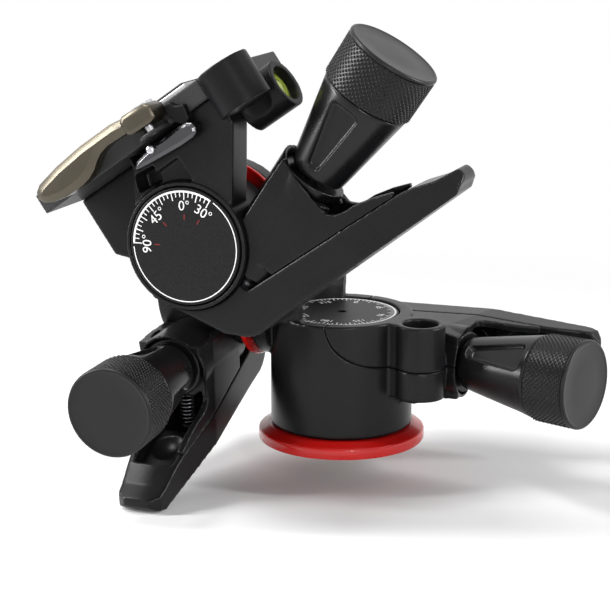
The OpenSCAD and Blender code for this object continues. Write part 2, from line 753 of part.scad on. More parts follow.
// ---- Tilt stage ----
tilt_rear = tilt_face + joint_ring_t + turn_gap;
roll_face = roll_face_y - roll_worm_y;
bracket_y = -roll_face_y + 9;
module tilt_housing() color(black) {
    tilt_frame() drum(tilt_rear);
    roll_bracket();
}
module roll_bracket() {
    link_x0 = -tilt_worm_x - unit_half_w + 3;
    link_x1 = -tilt_worm_x - tilt_rear;
    difference() {
        union() {
            translate([-roll_x, bracket_y, roll_z]) rotate([90, 0, 0]) difference() {
                rod(joint_d / 2, 0, roll_face_y + bracket_y);
                translate([0, 0, roll_face_y + bracket_y - joint_ring_t - seat_gap])
                    tube(joint_d, spigot_d / 2, 0, 10);
            }
            hull() {
                translate([-roll_x, bracket_y, roll_z]) rotate([90, 0, 0]) cylinder(r = 21, h = 2, $fn = 32);
                translate([link_x0, -17, tilt_z + 8]) cube([link_x1 - link_x0 - 0.5, 4, 12]);
            }
            translate([link_x0, -17, tilt_z + 6]) cube([link_x1 - link_x0 - 0.5, 14, 14]);
        }
        translate([-roll_x, -roll_face_y, roll_z]) rotate([-90, 0, 0]) rod(spindle_r + 3.05, -1, 5.1);
        tilt_frame() {
            rod(drum_r - 0.5, tilt_rear - 2, dial_face);
            rod(joint_ring_d / 2 + 1, -80, tilt_rear);
        }
    }
}
module tilt_block() color(black) tilt_frame() worm_block(drum_r);
module tilt_arm() color(black) tilt_frame() finger_arm(drum_r);
module tilt_screws() color(steel) tilt_frame() strap_screws();
module tilt_pivot_pin() color(steel) tilt_frame() pivot_pin();
module tilt_spring() color(steel) tilt_frame() arm_spring();
module tilt_carrier() color(rubber) tilt_frame() worm_carrier();
module tilt_worm() color(steel) tilt_frame() worm_shaft();
module tilt_knob() color(black) tilt_frame() knob_core(100);
module tilt_grip() color(rubber) tilt_frame() knob_grip();
module tilt_cap() color(black) tilt_frame() knob_cap();

// ---- Roll joint, carried by the tilt stage ----
module roll_spindle() color(steel) roll_frame() stage_spindle(roll_face, side_spindle_end);
module roll_wheel() color(brass) roll_frame() worm_wheel();
module roll_ring() color(red) roll_frame() joint_ring(roll_face + joint_ring_t);
module roll_dial() color(black) roll_frame() scale_disc();

// ---- Roll stage and platform ----
// Platform frame: X to the right along the platform, Y up from the roll axis,
// Z towards the front.
roll_rear = roll_face + joint_ring_t + turn_gap;
module platform_housing() color(black) {
    roll_frame() drum(roll_rear);
    platform_frame() difference() {
        union() {
            front_tower();
            rear_arch();
        }
        rod(drum_r - 0.5, roll_rear - 30, dial_face + 1);
        rod(joint_ring_d / 2 + 0.6, -60, roll_rear + 0.4);
        rotate([0, 0, roll_knob_angle]) worm_room();
        latch_pocket();
    }
}
tower_left = -7;
tower_right = 37;
tower_face = dial_face - 1.7;
tower_back = 1;
module front_tower() {
    translate([0, 0, tower_back]) linear_extrude(tower_face - tower_back) polygon([[-19, 7], [-14, 15],
        [tower_left, 22], [-2, 30], [-1, deck_low - seat_gap], [tower_right, deck_low - seat_gap],
        [tower_right, 24], [20.5, 1.5], [15, 0]]);
}
module rear_arch() {
    translate([0, 0, roll_rear - 9]) linear_extrude(12) polygon([[-deck_left, deck_low - seat_gap],
        [-deck_left, 13], [-deck_left + 5, 8], [-18, 8], [-10, 18], [14, 18], [22, 24],
        [22, deck_low - seat_gap]]);
}
module latch_pocket() {
    slab(2, 14, 16, 25, tower_face - 2.2, tower_face + 1);
}
module roll_block() color(black) roll_frame() worm_block(drum_r);
module roll_arm() color(black) roll_frame() finger_arm(drum_r);
module roll_screws() color(steel) roll_frame() strap_screws();
module roll_pivot_pin() color(steel) roll_frame() pivot_pin();
module roll_spring() color(steel) roll_frame() arm_spring();
module roll_carrier() color(rubber) roll_frame() worm_carrier();
module roll_worm() color(steel) roll_frame() worm_shaft();
module roll_knob() color(black) roll_frame() knob_core(179);
module roll_grip() color(rubber) roll_frame() knob_grip();
module roll_cap() color(black) roll_frame() knob_cap();

deck_top = deck_low + deck_t;
plate_x = (deck_right - deck_left) / 2;
plate_z = (deck_front - deck_back) / 2;
seat_y = deck_top - seat_depth;
lever_x = 14;
lever_z = deck_front + 3.6;
lever_y = deck_low + 1.4;
module clamp_frame() color(black) platform_frame() difference() {
    union() {
        slab(-deck_left, deck_right, deck_low, deck_top, -deck_back, deck_front);
        translate([lever_x, deck_low, lever_z]) rotate([-90, 0, 0]) cylinder(r = 5, h = 1.2);
        slab(lever_x - 5, lever_x + 5, deck_low, deck_low + 1.2, deck_front - 1, lever_z);
    }
    slab(plate_x - plate_w / 2 - 0.2, plate_x + plate_w / 2 + 0.2, seat_y, deck_top + 1,
        plate_z - plate_depth / 2 - 0.2, plate_z + plate_depth / 2 + 0.2);
    translate([plate_x, 0, plate_z]) rotate([-90, 0, 0]) rod(11, deck_low + 1.5, deck_top);
    translate([lever_x, 0, lever_z]) rotate([-90, 0, 0]) {
        rod(1.5 + seat_gap / 2, 0, 60);
        rod(5.6, lever_y - 0.2, 60);
    }
    translate([level_x, 0, level_z]) rotate([-90, 0, 0]) rod(level_d / 2 + seat_gap, 0, 60);
}
plate_top = seat_y + plate_t;
module camera_plate() color(grey) platform_frame() difference() {
    slab(plate_x - plate_w / 2, plate_x + plate_w / 2, seat_y, plate_top,
        plate_z - plate_depth / 2, plate_z + plate_depth / 2);
    translate([plate_x, 0, plate_z]) rotate([-90, 0, 0]) {
        rod(screw_d / 2 + 0.1, 0, 60);
        rod(9.2, seat_y - 1, plate_top - 1.8);
    }
}
module plate_pad() color(rubber) platform_frame() difference() {
    slab(plate_x - plate_w / 2 + 2, plate_x + plate_w / 2 - 2, plate_top, plate_top + pad_t,
        plate_z - plate_depth / 2 + 2, plate_z + plate_depth / 2 - 2);
    translate([plate_x, 0, plate_z]) rotate([-90, 0, 0]) rod(6, 0, 60);
}
module camera_screw() color(steel) platform_frame() translate([plate_x, 0, plate_z]) rotate([-90, 0, 0]) {
    rod(9, plate_top - 4.6, plate_top - 1.9);
    rod(screw_d / 2 - 0.7, plate_top - 4, plate_top + screw_h - 1);
    rod(screw_d / 2, plate_top + pad_t + 0.1, plate_top + screw_h);
}
lever_w = 8;
function lever_points() = [[lever_x, lever_y], [lever_x, lever_y + lever_h], [lever_x - 8, lever_y + lever_h + 0.8],
    [lever_x - 26, lever_y + lever_h + 0.6], [lever_x - lever_len + 2, lever_y + lever_h],
    [lever_x - lever_len, lever_y + 3.4], [lever_x - lever_len + 4, lever_y + 0.4],
    [lever_x - lever_len + 13, lever_y - 1.6], [lever_x - lever_len + 20, lever_y - 0.8],
    [lever_x - 21, lever_y + 3.2], [lever_x - 8, lever_y + 2]];
module clamp_lever() color(bronze) platform_frame() difference() {
    union() {
        translate([lever_x, lever_y, lever_z]) rotate([-90, 0, 0]) cylinder(r = 5, h = lever_h);
        translate([0, 0, lever_z - 2.8]) linear_extrude(lever_w) polygon(lever_points());
    }
    translate([lever_x, 0, lever_z]) rotate([-90, 0, 0]) rod(1.5 + run_gap, 0, 60);
}
module lever_pin() color(steel) platform_frame() translate([lever_x, 0, lever_z]) rotate([-90, 0, 0]) {
    rod(1.5, deck_low, lever_y + lever_h + 0.3);
    rod(2.8, lever_y + lever_h + 0.3, lever_y + lever_h + 1.3);
}
latch_x = 11;
latch_y = 31;
latch_z = tower_face;
module safety_latch() color(steel) platform_frame() difference() {
    union() {
        translate([latch_x, latch_y, latch_z + 0.5]) cylinder(r = 3, h = 4);
        slab(2, 28, latch_y - 4.6, latch_y - 0.6, latch_z + 0.5, latch_z + 7);
    }
    translate([latch_x, latch_y, 0]) {
        rod(1.2 + run_gap, latch_z - 5, latch_z + 20);
        rod(2.4, latch_z + 4.6, latch_z + 20);
    }
}
module latch_pin() color(steel) platform_frame() translate([latch_x, latch_y, 0]) {
    rod(1.2, latch_z, latch_z + 5);
    rod(2, latch_z + 4.8, latch_z + 5.6);
}
level_x = deck_right + 2;
level_z = deck_front - 2;
level_low = 26;
module standing_level() color(black) platform_frame() difference() {
    union() {
        translate([level_x, 0, level_z]) rotate([-90, 0, 0]) rod(level_d / 2, level_low, level_low + level_h);
        slab(tower_right - 2, level_x, level_low + 2, deck_low - seat_gap, level_z - 12, level_z);
    }
    translate([level_x, 0, level_z]) rotate([-90, 0, 0]) rod(level_d / 2 - 2.5, level_low + level_h - 6, 60);
    slab(0, tower_right + seat_gap, 0, 60, -60, tower_face + seat_gap);
}
module standing_vial() color(glass) platform_frame() translate([level_x, 0, level_z]) rotate([-90, 0, 0])
    rod(level_d / 2 - 2.6, level_low + level_h - 5.9, level_low + level_h - 1);
side_y = 26.5;
side_z = -3;
side_end = 53;
module side_level() color(black) platform_frame() difference() {
    translate([0, side_y, side_z]) rotate([0, 90, 0]) rod(side_level_d / 2, tower_right + seat_gap, side_end);
    translate([0, side_y, side_z]) rotate([0, 90, 0]) rod(side_level_d / 2 - 2.2, side_end - 9, 80);
    slab(0, deck_right + seat_gap, deck_low - seat_gap, 60, -60, 60);
    translate([level_x, 0, level_z]) rotate([-90, 0, 0]) rod(level_d / 2 + seat_gap, 0, 60);
    slab(tower_right - 2, level_x, level_low + 2 - seat_gap, deck_low, level_z - 12.1, level_z);
}
module side_vial() color(glass) platform_frame() translate([0, side_y, side_z]) rotate([0, 90, 0])
    rod(side_level_d / 2 - 2.3, side_end - 8.8, side_end - 1.5);

echo(spring_gap = spring_gap);

base_plate();
base_ring();
thread_insert();
pan_spindle();
pan_wheel();
pan_dial();
pan_body();
pan_casing();
pan_arm();
base_screws();
casing_screw();
pan_pivot_pin();
pan_spring();
pan_carrier();
pan_worm();
pan_knob();
pan_grip();
pan_cap();
tilt_spindle();
tilt_wheel();
tilt_ring();
tilt_dial();
tilt_housing();
tilt_block();
tilt_arm();
tilt_screws();
tilt_pivot_pin();
tilt_spring();
tilt_carrier();
tilt_worm();
tilt_knob();
tilt_grip();
tilt_cap();
roll_spindle();
roll_wheel();
roll_ring();
roll_dial();
platform_housing();
roll_block();
roll_arm();
roll_screws();
roll_pivot_pin();
roll_spring();
roll_carrier();
roll_worm();
roll_knob();
roll_grip();
roll_cap();
clamp_frame();
camera_plate();
plate_pad();
camera_screw();
clamp_lever();
lever_pin();
safety_latch();
latch_pin();
standing_level();
standing_vial();
side_level();
side_vial();
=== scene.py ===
"""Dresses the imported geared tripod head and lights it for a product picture.

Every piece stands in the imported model's frame, in metres. Castings start from
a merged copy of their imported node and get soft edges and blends. Knobs, grips,
caps, scales, rings, springs, the lever, the latch, the fork beside them and the
fluid and lenses of the levels are modelled here.
"""
import json
import logging
import math
from dataclasses import dataclass, field
from enum import Enum
from typing import Callable, Sequence

import bpy
from mathutils import Matrix, Vector

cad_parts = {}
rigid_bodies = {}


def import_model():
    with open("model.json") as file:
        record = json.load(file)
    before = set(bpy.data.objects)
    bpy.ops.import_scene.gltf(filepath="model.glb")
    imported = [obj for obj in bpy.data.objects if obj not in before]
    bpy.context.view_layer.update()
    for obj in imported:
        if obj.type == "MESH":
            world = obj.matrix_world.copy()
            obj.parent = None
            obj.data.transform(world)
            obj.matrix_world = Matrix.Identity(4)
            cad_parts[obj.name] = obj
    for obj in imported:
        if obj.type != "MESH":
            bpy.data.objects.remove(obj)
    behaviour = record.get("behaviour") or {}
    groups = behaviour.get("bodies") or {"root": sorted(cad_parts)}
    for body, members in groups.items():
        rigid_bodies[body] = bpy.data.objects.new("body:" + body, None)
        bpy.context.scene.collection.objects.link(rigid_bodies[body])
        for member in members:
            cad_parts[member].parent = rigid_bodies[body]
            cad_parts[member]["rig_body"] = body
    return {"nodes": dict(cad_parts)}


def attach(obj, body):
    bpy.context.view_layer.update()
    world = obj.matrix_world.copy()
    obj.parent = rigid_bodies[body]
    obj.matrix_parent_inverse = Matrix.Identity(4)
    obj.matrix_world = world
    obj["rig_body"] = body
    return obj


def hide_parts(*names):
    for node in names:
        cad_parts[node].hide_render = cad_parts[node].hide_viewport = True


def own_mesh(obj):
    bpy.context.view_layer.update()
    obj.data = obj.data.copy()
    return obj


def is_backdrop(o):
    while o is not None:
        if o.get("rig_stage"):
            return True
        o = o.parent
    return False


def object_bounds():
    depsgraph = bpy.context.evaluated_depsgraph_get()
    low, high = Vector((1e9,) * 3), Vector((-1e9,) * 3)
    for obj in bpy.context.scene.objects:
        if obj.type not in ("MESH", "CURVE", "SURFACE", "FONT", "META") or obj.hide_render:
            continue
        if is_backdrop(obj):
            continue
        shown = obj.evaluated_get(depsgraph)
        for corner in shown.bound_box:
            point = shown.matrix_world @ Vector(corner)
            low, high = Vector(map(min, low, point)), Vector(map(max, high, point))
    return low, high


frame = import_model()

LOG = logging.getLogger("tripod_head")
MM = 0.001
NEAR = 1e-7  # metres between corners that are one corner
NODE_NEAR = 2e-6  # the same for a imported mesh
Outline = Sequence[tuple[float, float]]
Colour = tuple[float, float, float]
FaceTest = Callable[[Vector, Vector], bool]
Piece = bpy.types.Object
Socket = bpy.types.NodeSocket
Material = bpy.types.Material


# ---------------------------------------------------------------- frames

def turned_by(x: float = 0.0, y: float = 0.0, z: float = 0.0) -> Matrix:
    """Turn about X, then Y, then Z, in degrees."""
    return (Matrix.Rotation(math.radians(z), 4, "Z") @ Matrix.Rotation(math.radians(y), 4, "Y")
            @ Matrix.Rotation(math.radians(x), 4, "X"))


def shifted(x: float, y: float, z: float) -> Matrix:
    """Shift in millimetres."""
    return Matrix.Translation(Vector((x, y, z)) * MM)


@dataclass(frozen=True)
class HeadSizes:
    """Sizes in millimetres and degrees, the same as in the part's source."""

    pan_worm_z: float = 30.0
    pan_angle: float = -16.0
    body_top: float = 47.0
    tilt_x: float = 49.0
    tilt_z: float = 53.0
    tilt_dip: float = 3.6
    roll_x: float = 23.8
    roll_y: float = 66.0
    roll_z: float = 84.3
    roll_rest: float = 35.0
    roll_knob: float = 21.7
    centre_distance: float = 20.0
    release: float = 7.0
    dial_face: float = 14.7


SIZES = HeadSizes()


class Stage(Enum):
    """The three stages, each with the name that its nodes begin with."""

    PAN = "pan"
    TILT = "tilt"
    ROLL = "roll"

    @property
    def frame(self) -> Matrix:
        """Wheel axis along Z, worm axis along X at minus Y."""
        s = SIZES
        if self is Stage.PAN:
            return shifted(0, 0, s.pan_worm_z) @ turned_by(x=180, z=s.pan_angle)
        if self is Stage.TILT:
            return shifted(-s.tilt_x, 0, s.tilt_z) @ turned_by(x=90, z=-90) @ turned_by(z=-s.tilt_dip)
        return platform_frame() @ turned_by(z=s.roll_knob)

    @property
    def knob_frame(self) -> Matrix:
        """Z along the knob, from the wheel axis."""
        return self.frame @ shifted(0, -SIZES.centre_distance, 0) @ turned_by(y=90)

    @property
    def flute_turn(self) -> float:
        """Angle of the knob's first pocket, in degrees."""
        return {Stage.PAN: 49.0, Stage.TILT: 100.0, Stage.ROLL: 179.0}[self]

    def node(self, part: str) -> str:
        """Name of one of this stage's nodes."""
        return f"{self.value}_{part}"


def platform_frame() -> Matrix:
    """X to the right along the platform, Y up from the roll axis, Z to the front."""
    s = SIZES
    return shifted(-s.roll_x, -s.roll_y, s.roll_z) @ turned_by(x=90) @ turned_by(z=s.roll_rest)


# ---------------------------------------------------------------- materials

class Num:
    """A number in a shader tree that takes part in Python arithmetic."""

    def __init__(self, tree: "ShaderTree", socket: Socket) -> None:
        """Wrap one socket of a tree."""
        self.tree = tree
        self.socket = socket

    def _math(self, operation: str, *values: "Num | float") -> "Num":
        """Add a Math node.

        Args:
            operation: Name of the Math node's operation.
            values: Its operands in order.

        Returns:
            The result.
        """
        node = self.tree.node("ShaderNodeMath", {"operation": operation}, dict(enumerate(values)))
        return Num(self.tree, node.outputs[0])

    def __add__(self, other: "Num | float") -> "Num":
        """Sum."""
        return self._math("ADD", self, other)

    __radd__ = __add__

    def __sub__(self, other: "Num | float") -> "Num":
        """Difference."""
        return self._math("SUBTRACT", self, other)

    def __rsub__(self, other: float) -> "Num":
        """Reflected difference."""
        return self._math("SUBTRACT", other, self)

    def __mul__(self, other: "Num | float") -> "Num":
        """Product."""
        return self._math("MULTIPLY", self, other)

    __rmul__ = __mul__

    def __truediv__(self, other: "Num | float") -> "Num":
        """Quotient."""
        return self._math("DIVIDE", self, other)

    def __rtruediv__(self, other: float) -> "Num":
        """Reflected quotient."""
        return self._math("DIVIDE", other, self)

    def __pow__(self, other: float) -> "Num":
        """Power."""
        return self._math("POWER", self, other)

    def __abs__(self) -> "Num":
        """Size without sign."""
        return self._math("ABSOLUTE", self)

    def below(self, limit: "Num | float") -> "Num":
        """One where this is less than the limit."""
        return self._math("LESS_THAN", self, limit)

    def above(self, limit: "Num | float") -> "Num":
        """One where this is more than the limit."""
        return self._math("GREATER_THAN", self, limit)

    def within(self, low: float, high: float) -> "Num":
        """One between two limits."""
        return self.above(low) * self.below(high)

    def either(self, other: "Num") -> "Num":
        """The larger of two masks."""
        return self._math("MAXIMUM", self, other)

    def swing(self, amount: float) -> "Num":
        """Change about zero that a noise between 0 and 1 makes."""
        return (self - 0.5) * amount

    def angle_over(self, other: "Num") -> "Num":
        """Angle in degrees whose tangent is this over the other."""
        return self._math("ARCTAN2", self, other) * (180 / math.pi)

    def off_step(self, step: float) -> "Num":
        """Distance to the nearest multiple of a step."""
        return abs(self._math("FRACT", self / step + 0.5) - 0.5) * step

    def eased(self, low: float, high: float) -> "Num":
        """Rises smoothly from 0 at low to 1 at high."""
        node = self.tree.node("ShaderNodeMapRange", {"interpolation_type": "SMOOTHSTEP"},
                              {"Value": self, "From Min": low, "From Max": high})
        return Num(self.tree, node.outputs["Result"])


def length_of(x: Num, y: Num) -> Num:
    """Length of a flat vector."""
    return (x * x + y * y) ** 0.5


class ShaderTree:
    """Node tree of one material, with short names for what the finishes use."""

    def __init__(self, name: str) -> None:
        """Start a material with an output and one Principled shader."""
        self.material = bpy.data.materials.new(name)
        self.material.use_nodes = True
        self.tree = self.material.node_tree
        self.tree.nodes.clear()
        self.shader = self.node("ShaderNodeBsdfPrincipled")
        self.output = self.node("ShaderNodeOutputMaterial", {}, {"Surface": self.shader.outputs[0]})

    @classmethod
    def of_world(cls, world: bpy.types.World) -> "ShaderTree":
        """An empty tree on a world."""
        made = cls.__new__(cls)
        made.tree = world.node_tree
        made.tree.nodes.clear()
        return made

    def node(self, kind: str, settings: dict | None = None, inputs: dict | None = None) -> bpy.types.Node:
        """Add one node.

        Args:
            kind: Type name of the node.
            settings: Attributes that are set first.
            inputs: Values or links of its sockets.

        Returns:
            The node.
        """
        node = self.tree.nodes.new(kind)
        for key, value in (settings or {}).items():
            setattr(node, key, value)
        for key, value in (inputs or {}).items():
            self.feed(node.inputs[key], value)
        return node

    def feed(self, socket: Socket, value: object) -> None:
        """Link a socket, or set its value."""
        if isinstance(value, Num):
            value = value.socket
        if isinstance(value, Socket):
            self.tree.links.new(value, socket)
        elif isinstance(value, tuple) and len(value) == 3 and socket.type == "RGBA":
            socket.default_value = (*value, 1.0)
        else:
            socket.default_value = value

    def place(self, frame_of: Matrix | None = None,
              stretch: tuple[float, float, float] = (1.0, 1.0, 1.0)) -> Socket:
        """Object coordinates, seen from a frame and stretched.

        Args:
            frame_of: Frame that the pattern is drawn in.
            stretch: Scale along each of its axes.

        Returns:
            A vector socket in metres.
        """
        source = self.node("ShaderNodeTexCoord").outputs["Object"]
        if frame_of is not None:
            source = self.node("ShaderNodeMapping", {"vector_type": "TEXTURE"},
                               {"Vector": source, "Location": frame_of.to_translation(),
                                "Rotation": frame_of.to_euler()}).outputs[0]
        if stretch != (1.0, 1.0, 1.0):
            source = self.node("ShaderNodeMapping", {}, {"Vector": source, "Scale": stretch}).outputs[0]
        return source

    def axes(self, vector: Socket) -> tuple[Num, Num, Num]:
        """The three parts of a vector, in millimetres."""
        parts = self.node("ShaderNodeSeparateXYZ", {}, {0: vector})
        x, y, z = (Num(self, parts.outputs[i]) * (1 / MM) for i in range(3))
        return x, y, z

    def noise(self, vector: Socket, size: float, detail: float = 2.0,
              roughness: float = 0.5) -> Num:
        """Noise with features of a size in millimetres."""
        node = self.node("ShaderNodeTexNoise", {}, {"Vector": vector, "Scale": 1 / (size * MM),
                                                    "Detail": detail, "Roughness": roughness})
        return Num(self, node.outputs[0])

    def cells(self, vector: Socket, size: float) -> Num:
        """Distance to the centre of soft cells of a size in millimetres."""
        node = self.node("ShaderNodeTexVoronoi", {"feature": "SMOOTH_F1"},
                         {"Vector": vector, "Scale": 1 / (size * MM)})
        return Num(self, node.outputs["Distance"])

    def blend(self, factor: Num, low: Colour | Socket,
              high: Colour | Socket) -> Socket:
        """Colour between two others."""
        node = self.node("ShaderNodeMix", {"data_type": "RGBA", "clamp_factor": True},
                         {0: factor, 6: low, 7: high})
        return node.outputs[2]

    def dent(self, height: Num, depth: float) -> Socket:
        """Normal of a relief whose depth is in millimetres."""
        node = self.node("ShaderNodeBump", {}, {"Height": height, "Strength": 1.0, "Distance": depth * MM})
        return node.outputs[0]

    def finish(self, **values: object) -> Material:
        """Set the shader's sockets by name, with underscores for spaces.

        Returns:
            The material.
        """
        for key, value in values.items():
            self.feed(self.shader.inputs[key.replace("_", " ")], value)
        return self.material


@dataclass(frozen=True)
class Finish:
    """A surface finish, with the name of one material slot of the record.

    The second tone of its surface is its colour times its lift.
    """

    name: str
    slot: str
    colour: Colour
    roughness: float
    lift: float = 1.0

    @property
    def tint(self) -> Colour:
        """The second tone."""
        return tuple(c * self.lift for c in self.colour)

    def material(self) -> Material:
        """The material, made once and shared."""
        found = bpy.data.materials.get(self.name)
        return found if found is not None else self.shade(ShaderTree(self.name))

    def shade(self, tree: ShaderTree) -> Material:
        """Build the shader; each finish has its own."""
        return tree.finish(Base_Color=self.colour, Roughness=self.roughness)


@dataclass(frozen=True)
class MouldedPlastic(Finish):
    """Fine-grained casting: speckled relief, faint mottling and rubbed high spots."""

    grain: float = 0.45
    relief: float = 0.038
    lift: float = 2.2
    gloss: float = 0.18

    def shade(self, tree: ShaderTree) -> Material:
        """Grain relief with a slow change of tone and sheen."""
        place = tree.place()
        grain = tree.noise(place, self.grain, 3.0, 0.6)
        pits = tree.cells(place, self.grain * 1.8)
        cloud = tree.noise(place, 16.0)
        tone = grain.eased(0.35, 0.75) * 0.55 + cloud * 0.45
        return tree.finish(
            Base_Color=tree.blend(tone, self.colour, self.tint),
            Roughness=self.roughness + cloud.swing(0.10) + grain.swing(0.12),
            Specular_IOR_Level=self.gloss, Normal=tree.dent(grain * 0.7 + pits * 0.3, self.relief))


@dataclass(frozen=True)
class SmoothPlastic(Finish):
    """Satin moulded plastic with a faint flow mark and light handling wear."""

    lift: float = 1.7
    gloss: float = 0.4
    relief: float = 0.012

    def shade(self, tree: ShaderTree) -> Material:
        """Broad sheen with fine scuffs."""
        place = tree.place()
        cloud = tree.noise(place, 9.0, 3.0)
        fine = tree.noise(place, 0.35)
        scuff = tree.noise(tree.place(stretch=(1.0, 9.0, 3.0)), 2.4, 4.0, 0.7).eased(0.62, 0.74)
        return tree.finish(
            Base_Color=tree.blend(cloud * 0.7 + scuff * 0.25, self.colour, self.tint),
            Roughness=self.roughness + cloud.swing(0.12) + scuff * 0.08,
            Specular_IOR_Level=self.gloss, Normal=tree.dent(fine * 0.5 + cloud * 0.5, self.relief))


@dataclass(frozen=True)
class Rubber(Finish):
    """Matt rubber with a chalky, cloudy bloom."""

    lift: float = 2.2
    gloss: float = 0.24
    relief: float = 0.02

    def shade(self, tree: ShaderTree) -> Material:
        """Dusty tone over a soft relief."""
        place = tree.place()
        fine = tree.noise(place, 0.3, 3.0, 0.6)
        cloud = tree.noise(place, 6.0)
        return tree.finish(
            Base_Color=tree.blend(cloud * 0.5 + fine * 0.4, self.colour, self.tint),
            Roughness=self.roughness + fine.swing(0.15), Specular_IOR_Level=self.gloss,
            Normal=tree.dent(fine, self.relief))


@dataclass(frozen=True)
class Enamel(Finish):
    """Glossy coloured lacquer with a little orange peel."""

    lift: float = 0.72
    gloss: float = 0.3
    coat: float = 0.3
    relief: float = 0.012

    def shade(self, tree: ShaderTree) -> Material:
        """Deep colour under a clear coat."""
        place = tree.place()
        peel = tree.noise(place, 1.6)
        cloud = tree.noise(place, 12.0)
        return tree.finish(
            Base_Color=tree.blend(cloud, self.tint, self.colour), Roughness=self.roughness + peel.swing(0.06),
            Coat_Weight=self.coat, Coat_Roughness=0.08, Specular_IOR_Level=self.gloss,
            Normal=tree.dent(peel, self.relief))


@dataclass(frozen=True)
class BrushedMetal(Finish):
    """Metal with fine lines along the X axis of a frame, and a cloudy tone."""

    lift: float = 1.35
    lines: Matrix = field(default_factory=Matrix)
    drawn_out: float = 0.06
    relief: float = 0.006
    metallic: float = 1.0

    def shade(self, tree: ShaderTree) -> Material:
        """Stretched noise for lines, broad noise for tone."""
        lines = tree.noise(tree.place(self.lines, (self.drawn_out, 1.0, 1.0)), 0.35, 3.0, 0.65)
        place = tree.place()
        cloud = tree.noise(place, 7.0, 3.0)
        speck = tree.noise(place, 0.5)
        return tree.finish(
            Base_Color=tree.blend(lines * 0.5 + cloud * 0.5, self.colour, self.tint), Metallic=self.metallic,
            Roughness=self.roughness + lines.swing(0.16) + cloud.swing(0.1) + speck.swing(0.05),
            Normal=tree.dent(lines, self.relief))


@dataclass(frozen=True)
class Threaded(Finish):
    """Metal bush with a thread's rings along the world's Z axis."""

    pitch: float = 1.59
    depth: float = 0.9
    bright: Colour = (0.8, 0.62, 0.34)

    def shade(self, tree: ShaderTree) -> Material:
        """Ring relief on turned brass."""
        place = tree.place()
        rings = tree.axes(place)[2].off_step(self.pitch)
        cloud = tree.noise(place, 4.0, 3.0)
        return tree.finish(Base_Color=tree.blend(cloud, self.colour, self.bright), Metallic=1.0,
                           Roughness=self.roughness + cloud.swing(0.15), Normal=tree.dent(rings, self.depth))


@dataclass(frozen=True)
class SpiritFluid(Finish):
    """Yellow-green fluid of a level with a printed circle and its bubble.

    Radii are in millimetres, and the bubble is its centre's X and Y and its radius.
    """

    # lift: tone of the painted shade at the bore's wall, as a share of the colour
    lift: float = 0.35
    eye: Matrix = field(default_factory=Matrix)
    reach: float = 6.2
    circle: float = 2.9
    bubble: tuple[float, float, float] = (0.5, 0.4, 2.1)
    pale: Colour = (0.85, 0.93, 0.45)
    rim: Colour = (0.10, 0.14, 0.01)
    ink: Colour = (0.01, 0.01, 0.01)
    # glow: strength of a painted glow, emission from a fluid that is no lamp
    glow: float = 0.2

    def shade(self, tree: ShaderTree) -> Material:
        """Painted shade that darkens the fluid towards the bore's wall, and a faint painted glow, as of light
        gathered in the fluid.
        """
        x, y, _ = tree.axes(tree.place(self.eye))
        out = length_of(x, y)
        mid_x, mid_y, size = self.bubble
        near = length_of(x - mid_x, y - mid_y)
        # Painted shade: the fluid darkens from its colour to the tint towards the bore's wall.
        tone = tree.blend(out.eased(self.reach * 0.4, self.reach), self.colour, self.tint)
        tone = tree.blend(near.below(size) * 0.45, tone, self.pale)
        tone = tree.blend(abs(near - size).below(0.22) * 0.8, tone, self.rim)
        tone = tree.blend(abs(out - self.circle).below(0.16), tone, self.ink)
        return tree.finish(Base_Color=tone, Roughness=self.roughness, Emission_Color=tone,
                           Emission_Strength=self.glow, Coat_Weight=1.0, Coat_Roughness=0.03)


@dataclass(frozen=True)
class ClearLens(Finish):
    """Clear acrylic."""

    def shade(self, tree: ShaderTree) -> Material:
        """Thin transparent acrylic with faint haze."""
        haze = tree.noise(tree.place(), 3.0, 3.0)
        return tree.finish(Base_Color=self.colour, Roughness=self.roughness + haze * 0.02,
                           Transmission_Weight=1.0, IOR=1.12, Specular_IOR_Level=0.6)


